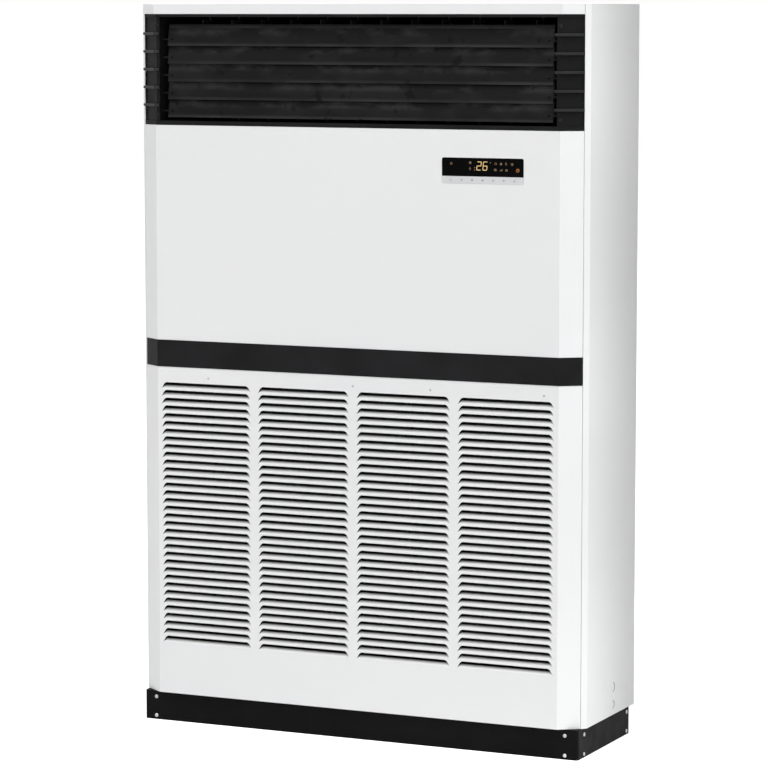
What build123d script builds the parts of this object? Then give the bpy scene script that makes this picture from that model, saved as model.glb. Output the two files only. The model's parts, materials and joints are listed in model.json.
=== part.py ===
from build123d import *
from math import atan2, cos, degrees, hypot, radians, sin
import os

# Floor standing air conditioner: a tall steel cabinet with an intake grille and
# twin fans below, a slanted coil in the middle and a louvred air outlet on top.
# Millimetres. The origin is the middle of the footprint, on the floor.
# The front looks along -Y, +X is to the viewer's right, +Z is up.

os.makedirs("parts", exist_ok=True)

# ---------------------------------------------------------------- driving sizes

height = 1850.0
width = 1230.0
depth = 380.0

# Sheets and joints
sheet = 1.2                 # painted outer panels
bend = 2.0                  # outside radius of their folds
fold_room = 3 * bend        # kept behind a side panel's fold
gap = 0.5                   # open joint between neighbouring panels
running = 0.08              # radial clearance round a turning pin
free = 0.3                  # side clearance of a sliding or turning piece

# Plan of the front: flat, then a bevel, then the side panel's own corner
belt_proud = 1.0            # the belt stands this far in front of the white panels
bevel_width = 49.0
bevel_depth = 34.0
corner_width = 12.0
corner_depth = 14.0
top_flat_extra = 5.0        # the top cover's flat front reaches further out

# Levels on the front: the lower ones from the floor, the outlet from the top
base_height = 75.5
belt_bottom = 926.5
belt_height = 68.5
top_cover_height = 25.0
outlet_height = 280.0

# Base
base_setback = 12.0         # behind the white front
base_side_inset = 10.0
base_rear_inset = 4.0
base_corner = 8.0
base_sheet = 2.0
base_flange = 40.0
pan_sheet = 1.5

# Panel flanges
flange = 14.0
return_lean = 4.0           # the front pieces' side returns lean inwards
rear_flange = 20.0

# Intake grille: pressed louvres in rows and columns
louvre_columns = 4
louvre_rows = 34
louvre_side_margin = 1.0
louvre_top_margin = 56.0    # from the panel's top edge to the fold line of the top row
louvre_row_pitch = 20.0
louvre_bottom_spacing = 20.5    # between neighbouring columns, at the fold lines
louvre_top_spacing = 39.5
louvre_opening = 16.0
louvre_lip_rise = 8.2
louvre_lip_depth = 7.0
louvre_end_clearance = 0.6  # between lip and slot at the fold line
louvre_end_opening = 5.0    # and level with the slot's upper edge
louvre_corner = 3.5         # the slot's upper corners are cut off
dimple_radius = 2.2
dimple_drop = 25.0          # below the panel's top edge
dimple_shares = (-0.742, 0.002, 0.388, 0.940)   # of half the flat front

# Intake panel hinge
hinge_back = 9.0            # pin axis behind the white front
hinge_rise = 8.5            # pin axis above the base
hinge_pin_radius = 3.0
hinge_knuckle_radius = 5.4
hinge_lug_inset = 14.0      # from the end of the flat front
hinge_leaf = 3.0

# Air outlet
outlet_side = 10.0          # column face between the mouth and the bevel
frame_wall = 2.5
frame_recess = 4.0          # side columns lie this far under the white surface
frame_depth = 60.0
rail_top_height = 7.0
rail_bottom_height = 10.0
rib_height = 5.0
rib_proud = 1.0             # ribs stand this far in front of the white surface
rib_overhang = 3.0
rib_above_pivot = 15.0

# Horizontal louvre blades
blade_count = 5
blade_pitch = 45.2
blade_first_drop = 64.3     # first pivot below the top of the outlet
blade_pivot_back = 25.0     # behind the white front
blade_below_pivot = 15.7
blade_above_pivot = 39.0
blade_lower_forward = 7.0
blade_upper_back = 5.0
blade_thickness = 2.6
blade_camber = 2.0          # its face bulges forward by this
blade_end_space = 16.0      # for the link bar and its pins
blade_pin_radius = 2.5
blade_cheek = 3.0
crank_reach = 9.9
crank_pin_radius = 2.0
crank_boss_radius = 4.2
link_thickness = 3.0
link_width = 8.0
blade_screw_inset = 11.0
blade_screw_radius = 2.2

# Vertical vanes behind them
vane_count = 12
vane_side_space = 87.75     # from the duct's cheek to the first vane
vane_front = 76.0           # behind the white front
vane_chord = 66.0
vane_thickness = 2.2
vane_nose_to_pivot = 44.0
vane_nose_to_crank = 14.0
vane_floor_space = 20.0
vane_top_space = 12.0
vane_pin_radius = 2.5
vane_hub_radius = 5.0
vane_nose = 1.2             # nose radius as a share of half the vane's thickness
vane_link_above_floor = 13.5

# Display and keys
display_inset = 203.0       # from the end of the flat front to its middle
display_drop = 69.0         # below the outlet
display_width = 216.0
window_height = 45.0
strip_height = 18.0
display_thickness = 3.0
display_corner = 4.0
display_rim = 6.0
key_count = 7
key_pitch = 28.0
key_width = 16.0
key_height = 8.0
key_travel = 0.8
key_clearance = 0.25
key_rim = 1.2
board_back = 12.0
board_thickness = 1.6
board_post_radius = 3.0
board_post_inset = 4.0
digit_block_width = 70.0
digit_block_height = 28.0
switch_width = 6.0
switch_height = 4.2

# Air path inside
wall = 2.0                  # galvanised inner sheets
deck_rise = 13.5            # deck above the belt's lower edge
duct_curve = 90.0
duct_skirt = 15.0           # its back reaches this far below the outlet
shelf_depth = 92.0
shelf_lip = 18.0

# Fans
fan_x = 290.0
fan_y = 15.0
fan_drop = 240.0            # axis below the deck
scroll_width = 240.0
scroll_radius = 112.0       # first quadrant of the volute
scroll_step = 17.0          # growth per quadrant
scroll_flange = 12.0
scroll_inlet_radius = 82.0
bell_depth = 10.0
tongue_angle = 70.0
wheel_radius = 96.0
wheel_inner_radius = 76.0
wheel_width = 200.0
wheel_blades = 24
wheel_blade_edge = 1.2      # its thickness along both edges
wheel_blade_lead = 6.0      # its outer edge runs ahead of the inner one
wheel_blade_belly = 2.0     # its swell between them
wheel_ring = 4.0
wheel_rim = 1.0             # blades end this far inside the ring's edges
wheel_plate = 3.0
hub_radius = 18.0
hub_length = 46.0
shaft_radius = 8.0
shaft_chamfer = 1.0
shaft_half_length = 452.0
fit = 0.05
motor_radius = 60.0
motor_half_length = 66.0
motor_rounding = 10.0
motor_boss = 8.0
hanger_x = 42.0
hanger_sheet = 4.0
hanger_margin = 14.0        # saddle plate outside the motor
hanger_window_margin = 20.0
hanger_window_corner = 10.0
bearing_x = 430.0
bearing_radius = 22.0
bearing_width = 16.0

# Coil
coil_side_space = 7.0       # inside the duct's cheeks
coil_end_space = 7.7
coil_thickness = 55.0
coil_front_space = 51.0     # lower end behind the white front
coil_foot_height = 60.0     # lower end above the deck
coil_rear_space = 45.2      # upper end in front of the back panel
coil_top_space = 35.0       # upper end below the duct
coil_plate = 1.5
coil_plate_margin = 6.0
tube_radius = 4.8
bend_pitch = 25.4
bend_starts = (-250.0, -205.0, -160.0, -115.0, -70.0, -25.0, 20.0, 110.0, 200.0)
bend_straight = 6.0

# Drain pan
pan_front_space = 17.0      # behind the white front
pan_depth = 84.0
pan_overhang = 24.0         # beyond the coil's ends
pan_height = 52.0
spigot_radius = 9.0
spigot_length = 26.0
spigot_inset = 44.0

# Refrigerant pipes
pipe_side_space = 30.0
gas_pipe_y = 40.0
gas_pipe_radius = 9.5
liquid_pipe_y = 85.0
liquid_pipe_radius = 6.0
pipe_hole_clearance = 1.0
pipe_bend = 24.0
pipe_end_z = 330.0
nut_height = 24.0
nut_share = 1.8             # its radius, in pipe radii

# Electrical box
box_inset = 195.0           # from the left side to its middle
box_width = 250.0
box_depth = 92.0
box_bottom = 130.0
box_height = 300.0
box_lid_corner = 6.0

# Filters
filter_back = 34.0          # front face behind the white front
filter_thickness = 8.0
filter_bottom = 196.0
filter_top = 905.0
filter_side_cover = 5.0     # it reaches this far past the louvres
filter_frame = 14.0
filter_mesh = 0.8
filter_bars = 3
rail_wall = 2.0
rail_grip = 9.0

# Knock-outs in the side panels
knockout_back = 225.0       # behind the white front
knockouts = ((146.0, 13.0), (102.0, 11.0))
knockout_groove = 1.6

# Swing motors
swing_motor_radius = 10.0
swing_motor_length = 12.0
socket_depth = 6.0

# Stiffening beads of the back panel
bead_side_space = 130.0
bead_width = 34.0
bead_depth = 4.0
bead_count = 4
bead_first_z = 330.0
bead_top_space = 450.0

# Belt
belt_wall = 3.0
belt_lip = 9.0

# Screws
screw_radius = 5.0
screw_head = 2.4
screw_taper = 28.0
base_screw_inset = 34.0
base_screw_levels = (10.5, 60.0)
side_screw_front = 42.0     # behind the base's front
side_screw_rear = 23.6      # before its rear
side_screw_levels = (9.0, 58.5)
bracket_screw_side = 8.0    # outside the mouth
bracket_screw_top = 29.0
bracket_screw_bottom = 26.0
back_screw_inset = 15.0
back_screw_rows = 6
back_screw_bottom = 34.5
back_screw_top = 30.0

# ---------------------------------------------------------------- derived places

front_y = -depth / 2
rear_y = depth / 2 - screw_head     # outer face of the back panel
face_y = front_y + belt_proud
side_half = width / 2
bevel_half = side_half - corner_width
face_half = bevel_half - bevel_width
inner_half = side_half - sheet
inner_rear = rear_y - 2 * sheet
belt_top = belt_bottom + belt_height
outlet_top = height - top_cover_height
outlet_bottom = outlet_top - outlet_height
deck_top = belt_bottom + deck_rise
deck_bottom = deck_top - wall
lower_panel_bottom = base_height + gap
lower_panel_top = belt_bottom - gap
upper_panel_bottom = belt_top + gap
upper_panel_top = outlet_bottom - gap
louvre_column_pitch = 2 * (face_half - louvre_side_margin) / louvre_columns
louvre_bottom_width = louvre_column_pitch - louvre_bottom_spacing
louvre_top_width = louvre_column_pitch - louvre_top_spacing
louvre_first_z = lower_panel_top - louvre_top_margin
hinge_lug_x = face_half - hinge_lug_inset
outlet_half = face_half - outlet_side
blade_half = outlet_half - blade_end_space
duct_half = outlet_half + frame_wall + gap
duct_rear_bottom = outlet_bottom - duct_skirt
base_half = side_half - base_side_inset
base_front = face_y + base_setback
base_rear = rear_y - base_rear_inset
duct_floor = outlet_bottom + rail_bottom_height
duct_roof = outlet_top - wall
duct_front = face_y + frame_depth
hinge_y = face_y + hinge_back
hinge_z = base_height + hinge_rise
blade_pivot_y = face_y + blade_pivot_back
blade_pivots = [outlet_top - blade_first_drop - blade_pitch * i for i in range(blade_count)]
link_x = blade_half + blade_cheek + free
vane_pivot_y = face_y + vane_front + vane_nose_to_pivot
vane_crank_y = face_y + vane_front + vane_nose_to_crank
vane_pitch = 2 * (duct_half - vane_side_space) / (vane_count - 1)
vane_places = [vane_pitch * (i - (vane_count - 1) / 2) for i in range(vane_count)]
vane_bottom = duct_floor + vane_floor_space
vane_top = duct_roof - vane_top_space
vane_link_z = duct_floor + vane_link_above_floor
display_x = face_half - display_inset
display_top = outlet_bottom - display_drop
display_middle = display_top - window_height
display_bottom = display_middle - strip_height
fan_z = deck_top - fan_drop
coil_half = duct_half - coil_side_space
coil_lower_y = face_y + coil_front_space
coil_lower_z = deck_top + coil_foot_height
coil_upper_y = inner_rear - coil_rear_space
coil_upper_z = duct_rear_bottom - coil_top_space
pan_front = face_y + pan_front_space
pan_rear = pan_front + pan_depth
pan_half = coil_half + pan_overhang
spigot_x = pan_half - spigot_inset
pipe_x = side_half - pipe_side_space
box_x = box_inset - side_half


# ---------------------------------------------------------------- shared sections

def folded(points, thickness, radius=bend):
    """Section of a sheet folded along points, its thickness to their left."""
    with BuildSketch() as section:
        with BuildLine():
            FilletPolyline(*points, radius=radius)
            offset(amount=thickness, side=Side.LEFT)
        make_face()
    return section.sketch


def front_line(plane_y, flat_half, with_returns=True):
    """Plan of a front piece: flat, two bevels and, if wanted, short returns."""
    bevel_y = plane_y + bevel_depth
    line = [(-bevel_half, bevel_y), (-flat_half, plane_y), (flat_half, plane_y), (bevel_half, bevel_y)]
    if with_returns:
        return_x = bevel_half - return_lean
        line = [(-return_x, bevel_y + flange)] + line + [(return_x, bevel_y + flange)]
    return line


def side_line():
    """Plan of the right side panel, from its corner to its rear flange."""
    start_y = face_y + bevel_depth
    return [
        (bevel_half + gap + sheet / 2, start_y + gap),
        (side_half, start_y + corner_depth),
        (side_half, rear_y - sheet),
        (side_half - rear_flange, rear_y - sheet),
    ]


def on_side(side, section):
    """The section itself on the right side, its mirror image on the left."""
    return section if side > 0 else section.mirror(Plane.YZ)


def round_slot(length, breadth, middle, turn=0):
    """A slot-ended strip for levers and link bars."""
    with BuildSketch() as outline:
        with Locations(Location((middle[0], middle[1], 0), (0, 0, turn))):
            SlotOverall(length, breadth)
    return outline.sketch


# ---------------------------------------------------------------- base

with BuildPart() as base_frame:
    base_mid_y = (base_front + base_rear) / 2
    base_depth = base_rear - base_front
    with BuildSketch():
        with Locations((0, base_mid_y)):
            RectangleRounded(2 * base_half, base_depth, base_corner)
    extrude(amount=base_height)
    with BuildSketch(Plane.XY.offset(base_sheet)):
        with Locations((0, base_mid_y)):
            RectangleRounded(2 * (base_half - base_sheet), base_depth - 2 * base_sheet,
                             base_corner - base_sheet)
    extrude(amount=base_height - 2 * base_sheet, mode=Mode.SUBTRACT)
    with BuildSketch():
        with Locations((0, base_mid_y)):
            Rectangle(2 * (base_half - base_flange), base_depth - 2 * base_flange)
    extrude(amount=base_height, mode=Mode.SUBTRACT)
    # Hinge lugs for the intake panel stand on the front flange
    for side in (-1, 1):
        lug_x = side * hinge_lug_x - hinge_leaf / 2
        with BuildSketch(Plane.YZ.offset(lug_x)):
            with Locations((hinge_y, hinge_z)):
                Circle(hinge_knuckle_radius)
            with Locations((hinge_y + hinge_knuckle_radius / 2, base_height + hinge_rise / 2)):
                Rectangle(hinge_knuckle_radius, hinge_rise)
            with Locations((hinge_y, hinge_z)):
                Circle(hinge_pin_radius + running, mode=Mode.SUBTRACT)
        extrude(amount=hinge_leaf)
base_frame.part.label = "base_frame"
export_step(base_frame.part, "parts/base_frame.step")

with BuildPart() as base_pan:
    pan_x_half = side_half - rear_flange - gap
    pan_front_y = face_y + bevel_depth + flange + gap
    with BuildSketch(Plane.XY.offset(base_height)):
        with Locations((0, (pan_front_y + inner_rear) / 2)):
            Rectangle(2 * pan_x_half, inner_rear - pan_front_y)
    extrude(amount=pan_sheet)
base_pan.part.label = "base_pan"
export_step(base_pan.part, "parts/base_pan.step")

# ---------------------------------------------------------------- cabinet panels

with BuildPart() as right_side_panel:
    with BuildSketch(Plane.XY.offset(base_height)):
        add(folded(side_line(), sheet))
    extrude(amount=height - sheet - base_height)
    # Bottom and top flanges
    flange_front = face_y + bevel_depth + 2 * corner_depth
    flange_rear = rear_y - 2 * sheet
    for level in (base_height, height - 2 * sheet):
        with BuildSketch(Plane.XY.offset(level)):
            with Locations((side_half - rear_flange / 2, (flange_front + flange_rear) / 2)):
                Rectangle(rear_flange - sheet, flange_rear - flange_front)
        extrude(amount=sheet)
    # Knock-outs for the pipes, scored in the outer face
    for knockout_z, knockout_radius in knockouts:
        with BuildSketch(Plane.YZ.offset(side_half)):
            with Locations((face_y + knockout_back, knockout_z)):
                Circle(knockout_radius)
                Circle(knockout_radius - knockout_groove, mode=Mode.SUBTRACT)
        extrude(amount=-sheet / 2, mode=Mode.SUBTRACT)
right_side_panel.part.label = "right_side_panel"
export_step(right_side_panel.part, "parts/right_side_panel.step")

with BuildPart() as left_side_panel:
    add(mirror(right_side_panel.part, about=Plane.YZ))
left_side_panel.part.label = "left_side_panel"
export_step(left_side_panel.part, "parts/left_side_panel.step")

with BuildPart() as back_panel:
    panel_bottom = base_height
    panel_top = height - sheet
    bead_length = width - 2 * bead_side_space
    bead_pitch = (height - bead_top_space - bead_first_z) / (bead_count - 1)
    bead_levels = [bead_first_z + bead_pitch * row for row in range(bead_count)]
    with BuildSketch(Plane.XZ.offset(-rear_y)):
        with Locations((0, (panel_bottom + panel_top) / 2)):
            Rectangle(2 * (side_half - gap), panel_top - panel_bottom)
    extrude(amount=sheet)
    # Pressed stiffening beads
    for level in bead_levels:
        with BuildSketch(Plane.XZ.offset(-rear_y)):
            with Locations((0, level)):
                SlotOverall(bead_length, bead_width)
        extrude(amount=bead_depth)
    for level in bead_levels:
        with BuildSketch(Plane.XZ.offset(-rear_y)):
            with Locations((0, level)):
                SlotOverall(bead_length - 2 * sheet, bead_width - 2 * sheet)
        extrude(amount=bead_depth - sheet, mode=Mode.SUBTRACT)
back_panel.part.label = "back_panel"
export_step(back_panel.part, "parts/back_panel.step")

with BuildPart() as top_cover:
    cover_flat = face_half + top_flat_extra
    with BuildSketch(Plane.XY.offset(height - sheet)):
        with BuildLine():
            Polyline(
                (-side_half, rear_y), (-side_half, face_y + bevel_depth + corner_depth),
                (-bevel_half, face_y + bevel_depth), (-cover_flat, face_y),
                (cover_flat, face_y), (bevel_half, face_y + bevel_depth),
                (side_half, face_y + bevel_depth + corner_depth), (side_half, rear_y),
                close=True,
            )
        make_face()
    extrude(amount=sheet)
    # Front skirt with its turned-in lower edge
    with BuildSketch(Plane.XY.offset(outlet_top + gap)):
        add(folded(front_line(face_y, cover_flat), sheet))
    extrude(amount=height - sheet / 2 - outlet_top - gap)
    with BuildSketch(Plane.XY.offset(outlet_top + gap)):
        add(folded(front_line(face_y, cover_flat, with_returns=False), flange))
    extrude(amount=sheet)
top_cover.part.label = "top_cover"
export_step(top_cover.part, "parts/top_cover.step")

with BuildPart() as upper_front_panel:
    with BuildSketch(Plane.XY.offset(upper_panel_bottom)):
        add(folded(front_line(face_y, face_half), sheet))
    extrude(amount=upper_panel_top - upper_panel_bottom)
    for level in (upper_panel_bottom, upper_panel_top - sheet):
        with BuildSketch(Plane.XY.offset(level)):
            add(folded(front_line(face_y, face_half, with_returns=False), flange))
        extrude(amount=sheet)
    with BuildSketch(Plane.XZ.offset(-face_y)):
        with Locations((display_x, (display_top + display_bottom) / 2)):
            RectangleRounded(display_width + 2 * gap, display_top - display_bottom + 2 * gap,
                             display_corner + gap)
    extrude(amount=-sheet, mode=Mode.SUBTRACT)
upper_front_panel.part.label = "upper_front_panel"
export_step(upper_front_panel.part, "parts/upper_front_panel.step")

with BuildPart() as belt_trim:
    with BuildSketch(Plane.XY.offset(belt_bottom)):
        add(folded(front_line(front_y, face_half, with_returns=False), belt_wall, belt_wall + bend))
    extrude(amount=belt_top - belt_bottom)
    # Hollowed from behind between its two edge lips
    with BuildSketch(Plane.XY.offset(belt_bottom + belt_lip)):
        add(folded(front_line(front_y + belt_wall / 2, face_half - belt_lip, with_returns=False),
                   2 * belt_wall))
    extrude(amount=belt_top - belt_bottom - 2 * belt_lip, mode=Mode.SUBTRACT)
belt_trim.part.label = "belt_trim"
export_step(belt_trim.part, "parts/belt_trim.step")

# ---------------------------------------------------------------- intake panel

with BuildSketch() as louvre_slot:
    # The cut that frees one louvre from the sheet, its lower edge on the fold line
    with BuildLine():
        slant = (louvre_bottom_width - louvre_top_width) / 2 / louvre_opening
        corner_x = louvre_top_width / 2 + slant * louvre_corner
        slot_right = [
            (louvre_top_width / 2 - louvre_corner, louvre_opening),
            (corner_x, louvre_opening - louvre_corner), (louvre_bottom_width / 2, 0),
        ]
        slot_left = [(-x, z) for x, z in reversed(slot_right)]
        Polyline(*slot_right, *slot_left, close=True)
    make_face()

with BuildPart() as pressed_lip:
    # One pressed louvre: folded along its lower edge, its top pushed inwards
    with BuildSketch(Plane.YZ.offset(-louvre_bottom_width / 2)):
        with BuildLine():
            Polyline((0, 0), (louvre_lip_depth, louvre_lip_rise),
                     (louvre_lip_depth + sheet, louvre_lip_rise), (sheet, 0), close=True)
        make_face()
    extrude(amount=louvre_bottom_width)
    with BuildSketch(Plane.XZ):
        with BuildLine():
            Polyline(
                (-louvre_bottom_width / 2 + louvre_end_clearance, 0),
                (-louvre_top_width / 2 + louvre_end_opening, louvre_opening),
                (louvre_top_width / 2 - louvre_end_opening, louvre_opening),
                (louvre_bottom_width / 2 - louvre_end_clearance, 0),
                close=True,
            )
        make_face()
    extrude(amount=-(louvre_lip_depth + 2 * sheet), mode=Mode.INTERSECT)

louvre_places = [
    (louvre_column_pitch * (column - (louvre_columns - 1) / 2),
     louvre_first_z - louvre_row_pitch * row)
    for column in range(louvre_columns) for row in range(louvre_rows)
]

with BuildPart() as intake_panel:
    with BuildSketch(Plane.XY.offset(lower_panel_bottom)):
        add(folded(front_line(face_y, face_half), sheet))
    extrude(amount=lower_panel_top - lower_panel_bottom)
    for level in (lower_panel_bottom, lower_panel_top - sheet):
        with BuildSketch(Plane.XY.offset(level)):
            add(folded(front_line(face_y, face_half, with_returns=False), flange))
        extrude(amount=sheet)
    with BuildSketch(Plane.XZ.offset(-face_y)):
        with Locations(*louvre_places):
            add(louvre_slot.sketch)
    extrude(amount=-sheet, mode=Mode.SUBTRACT)
    with Locations([(x, face_y, z) for x, z in louvre_places]):
        add(pressed_lip.part)
    # Small dimples along the top margin
    with BuildSketch(Plane.XZ.offset(-face_y)):
        with Locations([(share * face_half, lower_panel_top - dimple_drop) for share in dimple_shares]):
            Circle(dimple_radius)
    extrude(amount=-sheet / 2, mode=Mode.SUBTRACT)
    # Hinge leaves and pins, and the notches that clear the base's lugs
    notch = 2 * hinge_leaf + 4 * free + hinge_leaf
    for side in (-1, 1):
        with BuildSketch(Plane.XY.offset(lower_panel_bottom)):
            with Locations((side * (hinge_lug_x + hinge_leaf / 2), face_y + sheet + flange / 2)):
                Rectangle(notch, flange)
        extrude(amount=sheet, mode=Mode.SUBTRACT)
        with BuildSketch(Plane.YZ.offset(side * (hinge_lug_x + hinge_leaf / 2 + free))):
            with Locations((hinge_y, hinge_z)):
                Circle(hinge_knuckle_radius)
            with Locations(((face_y + sheet / 2 + hinge_y) / 2, hinge_z + hinge_knuckle_radius / 2)):
                Rectangle(hinge_y - face_y - sheet / 2, hinge_knuckle_radius * 2)
        extrude(amount=side * hinge_leaf)
        with BuildSketch(Plane.YZ.offset(side * (hinge_lug_x - hinge_leaf / 2 - 2 * free))):
            with Locations((hinge_y, hinge_z)):
                Circle(hinge_pin_radius)
        extrude(amount=side * (hinge_leaf + 4 * free))
intake_panel.part.label = "intake_panel"
export_step(intake_panel.part, "parts/intake_panel.step")

# ---------------------------------------------------------------- air outlet frame

ribs = [pivot_z + rib_above_pivot for pivot_z in blade_pivots]

with BuildPart() as outlet_frame:
    # Rails right across the front, with shelves that meet the duct
    for rail_z, rail_height in ((outlet_bottom, rail_bottom_height),
                                (outlet_top - rail_top_height, rail_top_height)):
        with BuildSketch(Plane.XY.offset(rail_z)):
            add(folded(front_line(face_y, face_half, with_returns=False), frame_wall))
        extrude(amount=rail_height)
    for shelf_z in (duct_floor - wall, duct_roof):
        with BuildSketch(Plane.XY.offset(shelf_z)):
            with Locations((0, face_y + frame_depth / 2)):
                Rectangle(2 * (outlet_half + frame_wall), frame_depth)
        extrude(amount=wall)
    for side in (-1, 1):
        # Side column: an inner wall, and a face that lies under the white surface
        with BuildSketch(Plane.XY.offset(outlet_bottom)):
            wall_y = face_y + (frame_depth + frame_recess) / 2
            with Locations((side * (outlet_half + frame_wall / 2), wall_y)):
                Rectangle(frame_wall, frame_depth - frame_recess)
            line = [(outlet_half, face_y), (face_half, face_y), (bevel_half, face_y + bevel_depth)]
            add(on_side(side, folded(line, frame_recess + frame_wall)))
            add(on_side(side, folded(line, frame_recess)), mode=Mode.SUBTRACT)
        extrude(amount=outlet_top - outlet_bottom)
        # Ribs across the column
        rib_y = face_y - rib_proud
        rib_line = [(outlet_half - rib_overhang, rib_y), (face_half, rib_y),
                    (bevel_half, rib_y + bevel_depth)]
        for rib_z in ribs:
            with BuildSketch(Plane.XY.offset(rib_z - rib_height / 2)):
                add(on_side(side, folded(rib_line, rib_proud + frame_recess + frame_wall / 2)))
            extrude(amount=rib_height)
        # Bearing holes for the blades
        with BuildSketch(Plane.YZ.offset(side * outlet_half)):
            with Locations([(blade_pivot_y, pivot_z) for pivot_z in blade_pivots]):
                Circle(blade_pin_radius + running)
        extrude(amount=side * frame_wall, mode=Mode.SUBTRACT)
outlet_frame.part.label = "outlet_frame"
export_step(outlet_frame.part, "parts/outlet_frame.step")

# ---------------------------------------------------------------- outlet duct

shelf_rear = duct_front + shelf_depth
vane_bearings = [(x, vane_pivot_y) for x in vane_places]

with BuildPart() as duct_wrap:
    # Roof and back in one curved sheet between the cheeks
    with BuildSketch(Plane.YZ.offset(-duct_half)):
        with BuildLine():
            FilletPolyline((duct_front, outlet_top), (inner_rear, outlet_top),
                           (inner_rear, duct_rear_bottom), radius=duct_curve)
            Line((inner_rear, duct_rear_bottom), (inner_rear - wall, duct_rear_bottom))
            FilletPolyline((inner_rear - wall, duct_rear_bottom), (inner_rear - wall, duct_roof),
                           (duct_front, duct_roof), radius=duct_curve - wall)
            Line((duct_front, duct_roof), (duct_front, outlet_top))
        make_face()
    extrude(amount=2 * duct_half)
    # Upper bearing holes of the vanes
    with BuildSketch(Plane.XY.offset(duct_roof)):
        with Locations(vane_bearings):
            Circle(vane_pin_radius + running)
    extrude(amount=wall, mode=Mode.SUBTRACT)

with BuildPart() as duct_shelf:
    # Floor under the vanes, its rear edge turned down
    with BuildSketch(Plane.YZ.offset(-duct_half)):
        with Locations(((duct_front + shelf_rear) / 2, duct_floor - wall / 2)):
            Rectangle(shelf_depth, wall)
        with Locations((shelf_rear + wall / 2, duct_floor - shelf_lip / 2)):
            Rectangle(wall, shelf_lip)
    extrude(amount=2 * duct_half)
    # Lower bearing holes of the vanes
    with BuildSketch(Plane.XY.offset(duct_floor - wall)):
        with Locations(vane_bearings):
            Circle(vane_pin_radius + running)
    extrude(amount=wall, mode=Mode.SUBTRACT)

with BuildPart() as duct_cheek:
    # End plate that closes the air path at one side
    with BuildSketch(Plane.YZ.offset(duct_half)):
        with BuildLine():
            FilletPolyline((duct_front, outlet_top), (inner_rear, outlet_top),
                           (inner_rear, duct_rear_bottom), radius=duct_curve)
            Polyline((inner_rear, duct_rear_bottom), (shelf_rear, duct_rear_bottom),
                     (shelf_rear, duct_floor - wall), (duct_front, duct_floor - wall),
                     (duct_front, outlet_top))
        make_face()
    extrude(amount=wall)

outlet_duct = Compound(children=[
    duct_wrap.part, duct_shelf.part, duct_cheek.part, duct_cheek.part.mirror(Plane.YZ),
])
outlet_duct.label = "outlet_duct"
export_step(outlet_duct, "parts/outlet_duct.step")

# ---------------------------------------------------------------- horizontal louvre blades

for index, pivot_z in enumerate(blade_pivots):
    with BuildPart() as blade:
        # Curved section, closed position: the lower edge leans forward
        with BuildSketch(Plane.YZ.offset(-blade_half)):
            with BuildLine():
                lower = (blade_pivot_y - blade_lower_forward, pivot_z - blade_below_pivot)
                upper = (blade_pivot_y + blade_upper_back, pivot_z + blade_above_pivot)
                middle = ((lower[0] + upper[0]) / 2 - blade_camber, (lower[1] + upper[1]) / 2)
                ThreePointArc(lower, middle, upper)
                Line(upper, (upper[0] + blade_thickness / 2, upper[1]))
                ThreePointArc((upper[0] + blade_thickness / 2, upper[1]),
                              (middle[0] + blade_thickness, middle[1]),
                              (lower[0] + blade_thickness / 2, lower[1]))
                Line((lower[0] + blade_thickness / 2, lower[1]), lower)
            make_face()
        extrude(amount=2 * blade_half)
        for side in (-1, 1):
            # End cheek, pin and the recess of its screw
            with BuildSketch(Plane.YZ.offset(side * blade_half)):
                with Locations((blade_pivot_y, pivot_z)):
                    Circle(2 * blade_pin_radius)
                with Locations((blade_pivot_y - blade_pin_radius, pivot_z)):
                    Rectangle(2 * blade_pin_radius, 4 * blade_pin_radius)
            extrude(amount=-side * blade_cheek)
            with BuildSketch(Plane.YZ.offset(side * blade_half)):
                with Locations((blade_pivot_y, pivot_z)):
                    Circle(blade_pin_radius)
            extrude(amount=side * (outlet_half + frame_wall + socket_depth / 2 - blade_half))
            with BuildSketch(Plane.XZ.offset(-blade_pivot_y)):
                with Locations((side * (blade_half - blade_screw_inset), pivot_z)):
                    Circle(blade_screw_radius)
            extrude(amount=2 * blade_lower_forward, mode=Mode.SUBTRACT)
        # Crank on the right end, with the pin that the link bar turns on
        with BuildSketch(Plane.YZ.offset(blade_half)):
            with Locations((blade_pivot_y, pivot_z)):
                Circle(2 * blade_pin_radius)
            with Locations((blade_pivot_y + crank_reach, pivot_z + crank_reach)):
                Circle(crank_boss_radius)
            make_hull()
        extrude(amount=blade_cheek)
        with BuildSketch(Plane.YZ.offset(blade_half)):
            with Locations((blade_pivot_y + crank_reach, pivot_z + crank_reach)):
                Circle(crank_pin_radius)
        extrude(amount=blade_cheek + 2 * free + link_thickness)
    blade.part.label = f"louvre_blade_{index + 1}"
    export_step(blade.part, f"parts/louvre_blade_{index + 1}.step")

with BuildPart() as louvre_link:
    pins = [(blade_pivot_y + crank_reach, pivot_z + crank_reach) for pivot_z in blade_pivots]
    link_length = blade_pitch * (blade_count - 1) + 2 * link_width
    with BuildSketch(Plane.YZ.offset(link_x)):
        add(round_slot(link_length, link_width, (pins[0][0], (pins[0][1] + pins[-1][1]) / 2), 90))
        with Locations(pins):
            Circle(crank_pin_radius + running, mode=Mode.SUBTRACT)
    extrude(amount=link_thickness)
louvre_link.part.label = "louvre_link"
export_step(louvre_link.part, "parts/louvre_link.step")

# ---------------------------------------------------------------- vertical vanes

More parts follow.
